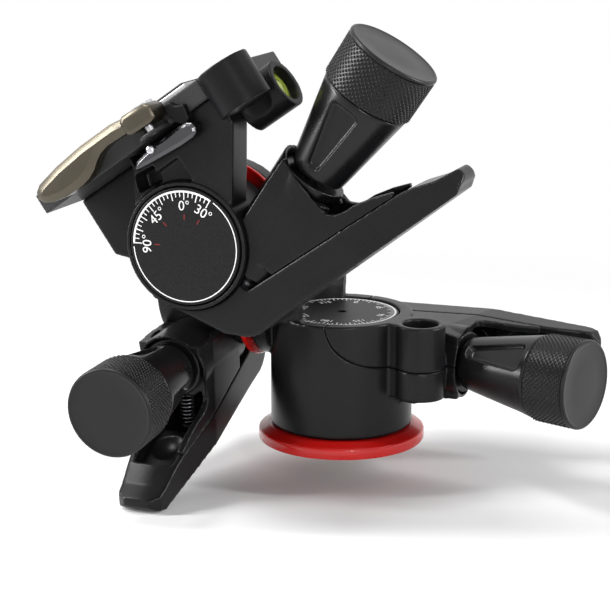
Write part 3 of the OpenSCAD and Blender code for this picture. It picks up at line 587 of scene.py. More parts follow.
@dataclass(frozen=True)
class ScaleFace(Finish):
    """Black scale with a white circle, graduations and faint red marks.

    Angles run from the face's Y axis towards its minus X axis. Lengths are in
    millimetres, and fine, line and bold are half the widths of printed lines.
    """

    lift: float = 2.0
    gloss: float = 0.18
    relief: float = 0.04
    face: Matrix = field(default_factory=Matrix)
    ring: float = 18.1
    low: float = -30.0
    high: float = 90.0
    minor: float = 5.0
    major: float = 15.0
    short: float = 1.9
    long: float = 2.9
    fine: float = 0.15
    line: float = 0.17
    bold: float = 0.33
    overrun: float = 0.8
    gap: float = 4.0
    marks: tuple[float, ...] = (90.0, 45.0, 0.0, -30.0)
    mark_band: tuple[float, float] = (8.8, 10.6)
    red: Colour = (0.35, 0.03, 0.02)
    white: Colour = (0.86, 0.86, 0.85)

    def shade(self, tree: ShaderTree) -> Material:
        """Printed lines from polar coordinates on grained plastic."""
        x, y, _ = tree.axes(tree.place(self.face))
        out = length_of(x, y)
        angle = (x * -1.0).angle_over(y)
        per_degree = out * (math.pi / 180)
        first, last = self.low - self.overrun, self.high + self.overrun
        arc = angle.within(first, last)
        gap = angle.within(self.low - self.gap, first).either(angle.within(last, self.high + self.gap))
        circle = abs(out - self.ring).below(self.line) * (1.0 - gap)
        band = abs(out - (self.ring - 0.1)).below(self.bold) * arc
        ticks = ((self.minor, self.fine, self.short), (self.major, self.line, self.long))
        minor, major = (
            (angle.off_step(step) * per_degree).below(width) * out.within(self.ring - length, self.ring)
            for step, width, length in ticks)
        printed = circle.either(band).either(minor.either(major) * arc)
        in_band = out.within(*self.mark_band)
        red = in_band * 0.0
        for mark in self.marks:
            red = red.either((abs(angle - mark) * per_degree).below(self.line) * in_band)
        grain = tree.noise(tree.place(), 0.45, 3.0, 0.6)
        base = tree.blend(grain.eased(0.35, 0.75), self.colour, self.tint)
        base = tree.blend(red * 0.55, base, self.red)
        base = tree.blend(printed * 0.96, base, self.white)
        return tree.finish(Base_Color=base, Roughness=self.roughness + grain.swing(0.12),
                           Specular_IOR_Level=self.gloss, Normal=tree.dent(grain, self.relief))


CASTING = MouldedPlastic("casing_black", "casing", (0.0055, 0.0055, 0.006), 0.33)
BLOCK_BLACK = MouldedPlastic("block_black", "casing", (0.005, 0.005, 0.0055), 0.30, grain=0.4, relief=0.028)
ARM_BLACK = MouldedPlastic("arm_black", "arm", (0.005, 0.005, 0.0055), 0.30, grain=0.4, relief=0.028)
LEVEL_BLACK = MouldedPlastic("level_black", "casing", (0.004, 0.004, 0.0045), 0.36,
                             grain=0.35, relief=0.02, gloss=0.14)
# Clamp frame: its grey, lighter than the casting's black, is partly the part's own tone and partly painted
# light for the left lamp on its left-facing faces.
FRAME_GREY_PAINTED_LIGHT = MouldedPlastic("frame_grey_painted_light", "plate", (0.022, 0.022, 0.022), 0.46, grain=0.5, lift=2.4)
CARRIER_BLACK = SmoothPlastic("carrier_black", "carrier", (0.004, 0.004, 0.004), 0.24, gloss=0.26)
KNOB_BLACK = SmoothPlastic("knob_black", "knob", (0.005, 0.005, 0.0055), 0.29, gloss=0.26)
CAP_BLACK = SmoothPlastic("cap_black", "knob", (0.008, 0.008, 0.0085), 0.34, gloss=0.22)
GRIP_RUBBER = Rubber("grip_rubber", "grip", (0.006, 0.006, 0.0065), 0.32)
RING_RED = Enamel("ring_red", "ring", (0.64, 0.009, 0.007), 0.24)
STEEL = BrushedMetal("turned_steel", "steel", (0.50, 0.50, 0.52), 0.30)
WIRE = BrushedMetal("spring_wire", "spring", (0.16, 0.16, 0.17), 0.34)
BRASS = BrushedMetal("cut_brass", "brass", (0.62, 0.45, 0.20), 0.34)
THREAD = Threaded("thread_brass", "brass", (0.60, 0.44, 0.20), 0.30)
LEVER_BRONZE = BrushedMetal("lever_bronze", "lever", (0.075, 0.066, 0.050), 0.34,
                            lines=platform_frame(), metallic=0.9)
LATCH_CHROME = BrushedMetal("latch_chrome", "latch", (0.07, 0.07, 0.074), 0.24,
                            lines=platform_frame() @ turned_by(z=50), relief=0.004)
PLATE_GREY = BrushedMetal("plate_grey", "plate", (0.42, 0.42, 0.43), 0.45,
                          lines=platform_frame(), metallic=0.6)
PAD_RUBBER = Rubber("pad_rubber", "grip", (0.012, 0.012, 0.012), 0.6)
PRINT_WHITE = SmoothPlastic("print_white", "scale", (0.62, 0.62, 0.61), 0.5)
LENS = ClearLens("level_lens", "vial", (0.95, 0.97, 0.90), 0.03)


def scale_face(name: str, face: Matrix, **settings: object) -> ScaleFace:
    """The finish of one dial; the settings are fields of ScaleFace."""
    return ScaleFace(name, "scale", (0.006, 0.006, 0.0065), 0.42, face=face, **settings)


# ---------------------------------------------------------------- modelling

def faces_up(centre: Vector, normal: Vector) -> bool:
    """Whether a face looks up along Z."""
    return normal.z > 0.9


class Bench:
    """Modelling operators, used as by hand on one piece at a time."""

    @staticmethod
    def clear() -> None:
        """Leave edit mode and deselect all."""
        if bpy.context.object is not None and bpy.context.object.mode != "OBJECT":
            bpy.ops.object.mode_set(mode="OBJECT")
        bpy.ops.object.select_all(action="DESELECT")

    @staticmethod
    def pick(piece: Piece) -> Piece:
        """Select one object and make it active."""
        Bench.clear()
        piece.select_set(True)
        bpy.context.view_layer.objects.active = piece
        return piece

    @staticmethod
    def modify(piece: Piece, kind: str, **settings: object) -> Piece:
        """Add a modifier and apply it.

        Args:
            piece: The object.
            kind: Type of the modifier.
            settings: Its attributes.

        Returns:
            The object.
        """
        Bench.pick(piece)
        modifier = piece.modifiers.new(kind.lower(), kind)
        for key, value in settings.items():
            setattr(modifier, key, value)
        bpy.ops.object.modifier_apply(modifier=modifier.name)
        return piece

    @staticmethod
    def unmark(mesh: bpy.types.Mesh) -> None:
        """Deselect every corner, edge and face."""
        for group in (mesh.vertices, mesh.edges, mesh.polygons):
            group.foreach_set("select", [False] * len(group))

    @staticmethod
    def choose_faces(piece: Piece, test: FaceTest) -> None:
        """Select faces by a test of centre, in millimetres, and normal, and go to edit mode."""
        Bench.pick(piece)
        Bench.unmark(piece.data)
        for face in piece.data.polygons:
            face.select = bool(test(face.center / MM, face.normal))
        bpy.ops.object.mode_set(mode="EDIT")
        bpy.ops.mesh.select_mode(type="FACE")

    @staticmethod
    def open_edit(piece: Piece) -> None:
        """Go to edit mode by corners, with all of them selected."""
        Bench.pick(piece)
        bpy.ops.object.mode_set(mode="EDIT")
        bpy.ops.mesh.select_mode(type="VERT")
        bpy.ops.mesh.select_all(action="SELECT")

    @staticmethod
    def close_edit(outward: bool = True) -> None:
        """Turn the normals outwards and leave edit mode."""
        if outward:
            bpy.ops.mesh.select_all(action="SELECT")
            bpy.ops.mesh.normals_make_consistent(inside=False)
        bpy.ops.object.mode_set(mode="OBJECT")

    @staticmethod
    def merged(piece: Piece, distance: float, outward: bool = True) -> Piece:
        """Merge the corners closer than a distance in metres."""
        Bench.open_edit(piece)
        bpy.ops.mesh.remove_doubles(threshold=distance)
        Bench.close_edit(outward)
        return piece

    @staticmethod
    def bordered(piece: Piece, border: float, rise: float) -> Piece:
        """Raise the upper face inside a sloping border, in millimetres."""
        Bench.choose_faces(piece, faces_up)
        bpy.ops.mesh.inset(thickness=border * MM, depth=rise * MM)
        Bench.close_edit()
        return piece

    @staticmethod
    def turned(name: str, profile: Outline, steps: int = 96, hollow: bool = False) -> Piece:
        """Turn a profile about Z from a circle that is extruded and scaled.

        Args:
            name: Name of the piece.
            profile: Radius and height of each corner in millimetres, from below.
            steps: Segments around.
            hollow: Whether the profile closes on itself and leaves a bore.

        Returns:
            The piece, with closed ends or a closed section.
        """
        Bench.clear()
        radius, height = profile[0]
        bpy.ops.mesh.primitive_circle_add(vertices=steps, radius=radius * MM, location=(0, 0, height * MM),
                                          fill_type="NOTHING" if hollow else "NGON")
        piece = bpy.context.object
        piece.name = name
        bpy.ops.object.transform_apply(location=True)
        Bench.open_edit(piece)
        for after_radius, after_height in [*profile[1:], *([profile[0]] if hollow else [])]:
            bpy.ops.mesh.extrude_region_move(
                TRANSFORM_OT_translate={"value": (0, 0, (after_height - height) * MM)})
            factor = after_radius / radius
            bpy.ops.transform.resize(value=(factor, factor, 1), center_override=(0, 0, after_height * MM))
            radius, height = after_radius, after_height
        if hollow:
            bpy.ops.mesh.select_all(action="SELECT")
            bpy.ops.mesh.remove_doubles(threshold=NEAR)
        Bench.close_edit()
        return piece

    @staticmethod
    def drawn(name: str, outline: Outline, low: float, high: float) -> Piece:
        """Draw an outline vertex by vertex, fill it and extrude it along Z.

        Args:
            name: Name of the piece.
            outline: Corners in millimetres, in order.
            low: Height of the lower face.
            high: Height of the upper face.

        Returns:
            The piece.
        """
        Bench.clear()
        x, y = outline[0]
        bpy.ops.mesh.primitive_plane_add(size=MM, location=(x * MM, y * MM, low * MM))
        piece = bpy.context.object
        piece.name = name
        bpy.ops.object.transform_apply(location=True)
        Bench.open_edit(piece)
        bpy.ops.mesh.merge(type="CENTER")
        for next_x, next_y in outline[1:]:
            bpy.ops.mesh.extrude_vertices_move(
                TRANSFORM_OT_translate={"value": ((next_x - x) * MM, (next_y - y) * MM, 0)})
            x, y = next_x, next_y
        bpy.ops.mesh.select_all(action="SELECT")
        bpy.ops.mesh.edge_face_add()
        bpy.ops.mesh.extrude_region_move(TRANSFORM_OT_translate={"value": (0, 0, (high - low) * MM)})
        Bench.close_edit()
        return piece

    @staticmethod
    def rounded(piece: Piece, width: float, segments: int = 3,
                angle: float = 30.0) -> Piece:
        """Round the edges sharper than an angle, with a width in millimetres."""
        return Bench.modify(piece, "BEVEL", width=width * MM, segments=segments, limit_method="ANGLE",
                            angle_limit=math.radians(angle), use_clamp_overlap=True, harden_normals=False)

    @staticmethod
    def cut(piece: Piece, tool: Piece, how: str = "DIFFERENCE") -> Piece:
        """Boolean with a tool piece, which is used up."""
        Bench.modify(piece, "BOOLEAN", operation=how, object=tool, solver="EXACT")
        bpy.data.objects.remove(tool)
        return piece

    @staticmethod
    def softened(piece: Piece, voxel: float, passes: int, most: int = 90000) -> Piece:
        """Blend a piece's edges and inner corners as a mould does.

        Args:
            piece: A closed piece.
            voxel: Size of the grid in millimetres.
            passes: Rounds of smoothing.
            most: Largest number of triangles kept.

        Returns:
            The piece.
        """
        Bench.modify(piece, "REMESH", mode="VOXEL", voxel_size=voxel * MM)
        Bench.modify(piece, "SMOOTH", factor=0.5, iterations=passes)
        triangles = 2 * len(piece.data.polygons)
        if triangles > most:
            Bench.modify(piece, "DECIMATE", ratio=most / triangles)
        return piece

    @staticmethod
    def smooth(piece: Piece, angle: float = 35.0) -> Piece:
        """Smooth shading up to an angle."""
        Bench.pick(piece)
        bpy.ops.object.shade_smooth_by_angle(angle=math.radians(angle))
        return piece

    @staticmethod
    def put(piece: Piece, place: Matrix) -> Piece:
        """Carry a piece to its frame and keep its object at the origin."""
        Bench.pick(piece)
        piece.matrix_world = place @ piece.matrix_world
        bpy.ops.object.transform_apply(location=True, rotation=True, scale=True)
        return piece

    @staticmethod
    def from_node(node: str) -> Piece:
        """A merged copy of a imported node's mesh, as the blank of a casting."""
        source = frame["nodes"][node]
        piece = bpy.data.objects.new(f"{node}_piece", source.data.copy())
        bpy.context.scene.collection.objects.link(piece)
        piece.data.materials.clear()
        return Bench.merged(piece, NODE_NEAR, outward=False)


def body_of(node: str) -> str:
    """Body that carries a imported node."""
    return frame["nodes"][node]["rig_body"]


def node_points(node: str, place: Matrix) -> list[Vector]:
    """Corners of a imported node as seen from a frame, in metres."""
    local = place.inverted()
    return [local @ v.co for v in frame["nodes"][node].data.vertices]


def middle_x(points: Sequence[Vector]) -> float:
    """Middle of what points take up along X, in millimetres."""
    return (min(p.x for p in points) + max(p.x for p in points)) / 2 / MM


def seat(piece: Piece, finish: Finish, nodes: Sequence[str] = (),
         body: str = "") -> Piece:
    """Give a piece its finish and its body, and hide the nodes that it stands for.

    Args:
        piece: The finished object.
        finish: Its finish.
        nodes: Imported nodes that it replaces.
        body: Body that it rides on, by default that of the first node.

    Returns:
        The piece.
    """
    piece.data.materials.clear()
    piece.data.materials.append(finish.material())
    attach(piece, body or body_of(nodes[0]))
    if nodes:
        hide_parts(*nodes)
    LOG.info("%s: %d faces, %s", piece.name, len(piece.data.polygons), finish.name)
    return piece


def dress(node: str, finish: Finish) -> None:
    """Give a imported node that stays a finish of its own."""
    piece = frame["nodes"][node]
    piece.data.materials.clear()
    piece.data.materials.append(finish.material())
    LOG.info("%s keeps its shape, %s", node, finish.name)


# ---------------------------------------------------------------- sub-assemblies

@dataclass
class Casting:
    """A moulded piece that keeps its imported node's form, with soft edges.

    It is remeshed on a grid of the voxel's size in millimetres, smoothed in some
    passes and reduced to the most triangles that it may have.
    """

    node: str
    finish: Finish
    voxel: float = 0.5
    passes: int = 4
    most: int = 110000

    def build(self, *tools: Piece) -> Piece:
        """Cut the node's copy with the given tools, soften it and seat it.

        Args:
            tools: Pieces that are taken away first, and used up.

        Returns:
            The piece.
        """
        piece = Bench.from_node(self.node)
        for tool in tools:
            Bench.cut(piece, tool)
        Bench.softened(piece, self.voxel, self.passes, self.most)
        return seat(Bench.smooth(piece, 60), self.finish, [self.node])


@dataclass
class GearKnob:
    """Fluted knob with its knurled rubber band and end cap.

    Each pair of the knurl is the border and the rise of one inset of a diamond.
    """

    stage: Stage
    start: float = 42.0
    length: float = 47.0
    small_r: float = 9.4
    big_r: float = 15.7
    grip: float = 15.2
    rubber: float = 2.2
    cap: float = 1.4
    flutes: int = 3
    flute_from: float = 3.4
    flute_depth: float = 2.1
    around: int = 54
    rows: int = 9
    widening: float = 0.25
    knurl: Outline = ((0.20, 0.0), (0.12, 0.42), (0.30, 0.12))

    @property
    def end(self) -> float:
        """Distance of the knob's end face from the wheel axis."""
        return self.start + self.length

    @property
    def grip_from(self) -> float:
        """Where the rubber band begins."""
        return self.end - self.cap - self.grip

    def core(self) -> Piece:
        """Tapered core with pressed pockets."""
        shoulder = self.big_r - 1.0
        inner = self.big_r - self.rubber - 0.1
        piece = Bench.turned(self.stage.node("knob_piece"), [
            (self.small_r - 1.6, self.start), (self.small_r - 0.6, self.start + 0.25),
            (self.small_r, self.start + 1.3), (self.small_r + 0.55, self.start + 4),
            (shoulder - 0.1, self.grip_from - 1.0), (shoulder - 0.3, self.grip_from - 0.2),
            (inner, self.grip_from), (inner, self.end - self.cap)], 128)
        slope = math.degrees(math.atan2(shoulder - self.small_r, self.grip_from - self.start))
        for i in range(self.flutes):
            around = turned_by(z=self.stage.flute_turn + i * 360 / self.flutes)
            lie = around @ shifted(self.small_r, 0, self.start) @ turned_by(y=slope - 90) @ turned_by(x=180)
            Bench.cut(piece, Bench.put(self.pocket_tool(), lie))
        return Bench.softened(piece, 0.28, 4, 50000)

    def pocket_tool(self) -> Piece:
        """Tool for one pocket: a rounded wedge with sloping walls."""
        length = self.grip_from - self.start - self.flute_from - 3.6
        points = []
        corners = ((2.6, 0.5, 1.5, 180), (length - 1.6, 3.0, 1.6, 90), (length - 1.6, -3.0, 1.6, 0),
                   (2.6, -0.5, 1.5, -90))
        for x, y, r, first in corners:
            for k in range(5):
                a = math.radians(first - k * 22.5)
                points.append((self.flute_from + x + r * math.cos(a), y + r * math.sin(a)))
        tool = Bench.drawn("pocket", points, -self.flute_depth, 1.2)
        Bench.choose_faces(tool, faces_up)
        middle = (self.flute_from + length * 0.55) * MM
        bpy.ops.transform.resize(value=(1.18, 1.42, 1), center_override=(middle, 0, 0))
        Bench.close_edit(False)
        return Bench.rounded(tool, 0.6, 3, 40)

    def band(self) -> Piece:
        """Rubber band with raised, softly rounded diamonds."""
        low, high = self.grip_from + 0.1, self.end - self.cap - 0.1
        outer, inner = self.big_r - 0.5, self.big_r - self.rubber
        step = (high - low) / self.rows
        profile = [(inner, low), (outer - self.widening, low)]
        profile += [(outer - self.widening + self.widening * k / self.rows, low + step * k)
                    for k in range(1, self.rows + 1)]
        profile += [(inner, high)]
        piece = Bench.turned(self.stage.node("grip_piece"), profile, self.around, hollow=True)
        rim = outer - 0.9

        def on_wall(centre: Vector, normal: Vector) -> bool:
            """Whether a face lies on the band's outer wall."""
            return math.hypot(centre.x, centre.y) > rim and abs(normal.z) < 0.6

        self.to_diamonds(piece, on_wall)
        Bench.choose_faces(piece, on_wall)
        for border, rise in self.knurl:
            bpy.ops.mesh.inset(thickness=border * MM, depth=rise * MM, use_individual=True)
        bpy.ops.object.mode_set(mode="OBJECT")
        return Bench.modify(piece, "SUBSURF", levels=1, render_levels=1)

    @staticmethod
    def to_diamonds(piece: Piece, on_wall: FaceTest) -> None:
        """Poke the wall's squares and dissolve their old edges, which leaves diamonds."""
        Bench.choose_faces(piece, on_wall)
        corners = len(piece.data.vertices)
        bpy.ops.mesh.poke()
        bpy.ops.object.mode_set(mode="OBJECT")
        mesh = piece.data
        Bench.unmark(mesh)
        faces_at: dict[tuple[int, int], list[int]] = {}
        for face in mesh.polygons:
            for key in face.edge_keys:
                faces_at.setdefault(key, []).append(face.index)
        for edge in mesh.edges:
            old = edge.vertices[0] < corners and edge.vertices[1] < corners
            sides = faces_at.get(tuple(sorted(edge.vertices)), [])
            edge.select = old and all(len(mesh.polygons[i].vertices) == 3 for i in sides)
        bpy.ops.object.mode_set(mode="EDIT")
        bpy.ops.mesh.select_mode(type="EDGE")
        bpy.ops.object.mode_set(mode="OBJECT")
        bpy.ops.object.mode_set(mode="EDIT")
        bpy.ops.mesh.dissolve_edges(use_verts=False)
        bpy.ops.object.mode_set(mode="OBJECT")

    def end_cap(self) -> Piece:
        """Smooth cap with a thin rounded rim and a nearly flat face."""
        r, z = self.big_r, self.end
        return Bench.turned(self.stage.node("cap_piece"), [
            (r - 1.6, z - self.cap + 0.05), (r - 0.35, z - self.cap + 0.05), (r - 0.1, z - self.cap + 0.3),
            (r - 0.05, z - 0.75), (r - 0.2, z - 0.35), (r - 0.5, z - 0.1), (r - 0.9, z), (r - 1.2, z - 0.04),
            (r - 1.5, z - 0.16), (r - 1.9, z - 0.24), (8.0, z - 0.16), (3.0, z - 0.1), (0.6, z - 0.1)], 128)

    def build(self) -> None:
        """Make the three pieces and carry them to the stage."""
        place = self.stage.knob_frame
        node = self.stage.node
        seat(Bench.smooth(Bench.put(self.core(), place), 60), KNOB_BLACK, [node("knob")])
        seat(Bench.smooth(Bench.put(self.band(), place), 60), GRIP_RUBBER, [node("grip")])
        seat(Bench.smooth(Bench.put(self.end_cap(), place), 40), CAP_BLACK, [node("cap")])


@dataclass
class ArmSpring:
    """Compression spring between the carrier's foot and the arm."""

    stage: Stage
    wire: float = 0.7
    mean: float = 6.0
    curls: int = 7
    curl_steps: int = 28
    spare: float = 0.2

    def build(self) -> None:
        """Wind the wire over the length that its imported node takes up."""
        node = self.stage.node("spring")
        points = node_points(node, self.stage.frame)
        low = min(p.y for p in points) / MM + self.wire / 2
        high = max(p.y for p in points) / MM - self.wire / 2
        middle = middle_x(points)
        Bench.clear()
        bpy.ops.mesh.primitive_circle_add(vertices=12, radius=self.wire / 2 * MM, fill_type="NGON",
                                          location=(self.mean / 2 * MM, 0, 0), rotation=(math.pi / 2, 0, 0))
        piece = bpy.context.object
        piece.name = f"{node}_piece"
        bpy.ops.object.transform_apply(location=True, rotation=True)
        Bench.modify(piece, "SCREW", axis="Z", angle=2 * math.pi, screw_offset=(high - low) / self.curls * MM,
                     iterations=self.curls, steps=self.curl_steps, render_steps=self.curl_steps,
                     use_normal_calculate=True)
        Bench.merged(piece, NEAR)
        Bench.put(piece, self.stage.frame @ shifted(middle, low, 0) @ turned_by(x=-90))
        seat(Bench.smooth(piece), WIRE, [node])
        self.squeeze(piece, middle, low - self.wire / 2, high - low + self.wire)

    def squeeze(self, piece: Piece, middle: float, floor: float, length: float) -> None:
        """Work out how far the carrier's foot would press the spring as the stage is released, and give the
        spring a mesh of its own; the spring keeps its length.

        Args:
            piece: The wound spring.
            middle: Its axis along the arm, in millimetres.
            floor: Where it stands on the arm.
            length: Its length at rest.
        """
        place = self.stage.frame
        pivot = middle_x(node_points(self.stage.node("pivot_pin"), place))
        reach = middle + self.mean / 2 + self.wire / 2 - pivot
        travel = reach * math.sin(math.radians(SIZES.release)) + self.spare
        self.stage.node("release")
        tuple(place.to_3x3() @ Vector((0, 1, 0)))
        tuple(place @ (Vector((middle, floor, 0)) * MM))
        1 - travel / length
        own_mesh(piece)


@dataclass
class Dial:
    """A scale disc with printed lines and separate printed figures."""

    node: str
    face: Matrix
    finish: ScaleFace
    figures: tuple[tuple[str, float], ...]
    radius: float = 19.2
    thickness: float = 1.9
    figure_at: float = 13.2
    figure_size: float = 3.6
    bore: float = 0.0

    def build(self) -> None:
        """Turn the disc and set the figures on it."""
        r, t = self.radius, self.thickness
        profile = [(r - 0.3, -t), (r, -t + 0.3), (r, -0.35), (r - 0.1, -0.12), (r - 0.35, 0.0)]
        profile += [(self.bore, 0.0), (self.bore, -t)] if self.bore else [(2.0, 0.0), (0.3, 0.0)]
        disc = Bench.turned(f"{self.node}_piece", profile, 128, hollow=bool(self.bore))
        seat(Bench.smooth(Bench.put(disc, self.face), 25), self.finish, [self.node])
        for index, (text, angle) in enumerate(self.figures):
            self.figure(text, angle, index)

    def figure(self, text: str, angle: float, index: int) -> None:
        """Print one figure with its top outwards.

        Args:
            text: The figure.
            angle: Its place, from the face's Y axis towards minus X.
            index: Its number among the figures.
        """
        Bench.clear()
        bpy.ops.object.text_add(location=(0, 0, 0))
        piece = bpy.context.object
        piece.name = f"{self.node}_figure_{index}"
        piece.data.body = text
        piece.data.size = self.figure_size * MM * 1.25
        piece.data.align_x, piece.data.align_y = "CENTER", "CENTER"
        piece.data.extrude = 0.012 * MM
        bpy.ops.object.convert(target="MESH")
        piece = bpy.context.object
        a = math.radians(angle)
        place = self.face @ shifted(-self.figure_at * math.sin(a), self.figure_at * math.cos(a), 0.02)
        Bench.put(piece, place @ turned_by(z=angle))
        seat(piece, PRINT_WHITE, body=body_of(self.node))


@dataclass
class StageDrive:
    """Knob, arm, carrier, worm and spring of one stage."""

    stage: Stage

    def build(self) -> None:
        """Build what the three stages share."""
        node = self.stage.node
        GearKnob(self.stage).build()
        Casting(node("arm"), ARM_BLACK, 0.45, 9, 90000).build()
        Casting(node("carrier"), CARRIER_BLACK, 0.4, 4, 40000).build()
        ArmSpring(self.stage).build()
        for part in ("worm", "pivot_pin", "spindle"):
            dress(node(part), STEEL)
        dress(node("wheel"), BRASS)


SIDE_FIGURES = (("90°", 90), ("45°", 45), ("0°", 0), ("30°", -30))


def side_dial(stage: Stage, face: Matrix) -> None:
    """Scale disc on the outer end of a side joint."""
    Dial(stage.node("dial"), face, scale_face(stage.node("scale"), face), SIDE_FIGURES).build()


@dataclass
class Base:
    """Flange, red ring, thread bush and screws."""

    outer: float = 30.0
    ring_in: float = 24.1
    rim: float = 4.2
    top: float = 5.6
    body_r: float = 25.5

    def build(self) -> None:
        """Turn the red ring and soften the plate; the rest keeps its packed form."""
        r = self.outer
        ring = Bench.turned("base_ring_piece", [
            (self.ring_in, 0.0), (r - 0.8, 0.0), (r - 0.25, 0.15), (r, 0.7), (r, self.rim - 0.9),
            (r - 0.12, self.rim - 0.45), (r - 0.45, self.rim - 0.12), (r - 1.0, self.rim + 0.12),
            (self.body_r + 1.1, self.top - 0.12), (self.body_r + 0.8, self.top),
            (self.ring_in, self.top)], 160, hollow=True)
        seat(Bench.smooth(ring, 40), RING_RED, ["base_ring"])
        Casting("base_plate", CASTING, 0.5, 3, 60000).build()
        dress("thread_insert", THREAD)
        dress("base_screws", STEEL)


@dataclass
class PanStage:
    """Body and right-hand casing around the pan wheel, with the top scale."""

    def build(self) -> None:
        """Build body, casing, joint ring and scale."""
        Casting("pan_body", CASTING, 0.5, 4, 110000).build()
        Casting("pan_casing", CASTING, 0.42, 3, 80000).build()
        dress("casing_screw", STEEL)
        joint_ring("tilt_ring", shifted(-29, 0, SIZES.tilt_z) @ turned_by(y=-90))
        face = shifted(0, 0, SIZES.body_top - 0.6)
        finish = scale_face("pan_scale", face, ring=19.4, low=-181.0, high=181.0, marks=())
        figures = tuple((str(a), -float(a)) for a in range(0, 360, 45))
        Dial("pan_dial", face, finish, figures, radius=20.5, thickness=2.5, figure_at=14.6, figure_size=2.6,
             bore=1.7).build()


def joint_ring(node: str, face: Matrix) -> None:
    """Red ring of a side joint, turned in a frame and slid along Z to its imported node."""
    outer, inner, thick, edge = 24.5, 20.1, 1.7, 0.4
    ring = Bench.turned(f"{node}_piece", [
        (inner, -thick), (outer - edge, -thick), (outer, -thick + edge), (outer, -edge), (outer - edge, 0.0),
        (inner, 0.0)], 128, hollow=True)
    Bench.put(ring, face)
    ring_low = min(v.co[0] + v.co[1] for v in ring.data.vertices)
    node_low = min(v.co[0] + v.co[1] for v in frame["nodes"][node].data.vertices)
    axis = face.to_3x3() @ Vector((0, 0, 1))
    along = axis.x + axis.y
    Bench.put(ring, Matrix.Translation(axis * ((node_low - ring_low) / along)))
    seat(Bench.smooth(ring, 40), RING_RED, [node])


@dataclass
class TiltStage:
    """Housing around the tilt wheel with the bracket to the roll joint."""

    def build(self) -> None:
        """Build housing, block, screws, scale and joint ring."""
        Casting("tilt_housing", CASTING, 0.5, 5, 110000).build()
        Casting("tilt_block", BLOCK_BLACK, 0.4, 5, 80000).build()
        dress("tilt_screws", STEEL)
        joint_ring("roll_ring", shifted(-SIZES.roll_x, -51, SIZES.roll_z) @ turned_by(x=90))
        face = shifted(-SIZES.tilt_x - SIZES.dial_face, 0, SIZES.tilt_z) @ turned_by(x=90, z=-90)
        side_dial(Stage.TILT, face)


@dataclass
class RollStage:
    """Housing around the roll wheel and all that carries the camera."""

    def build(self) -> None:
        """Build the housing, block, scale, frame, plate, levers and levels."""
        place = platform_frame()
        groove = Bench.drawn("groove", [(-0.5, 29), (-0.8, 36), (21, 36), (24.5, 31), (21, 28)], 5.5, 20)
        pocket = Bench.drawn("pocket", [(-4.6, 22.6), (4.0, 21.9), (5.2, 27.6), (-2.6, 28.2)], 5.0, 20)
        Casting("platform_housing", CASTING, 0.45, 5, 120000).build(
            Bench.put(groove, place), Bench.put(Bench.rounded(pocket, 0.8, 3), place))
        Casting("roll_block", BLOCK_BLACK, 0.4, 5, 80000).build()
        dress("roll_screws", STEEL)
        face = shifted(-SIZES.roll_x, -SIZES.roll_y - SIZES.dial_face, SIZES.roll_z) @ turned_by(x=90)
        side_dial(Stage.ROLL, face)
        Platform().build()


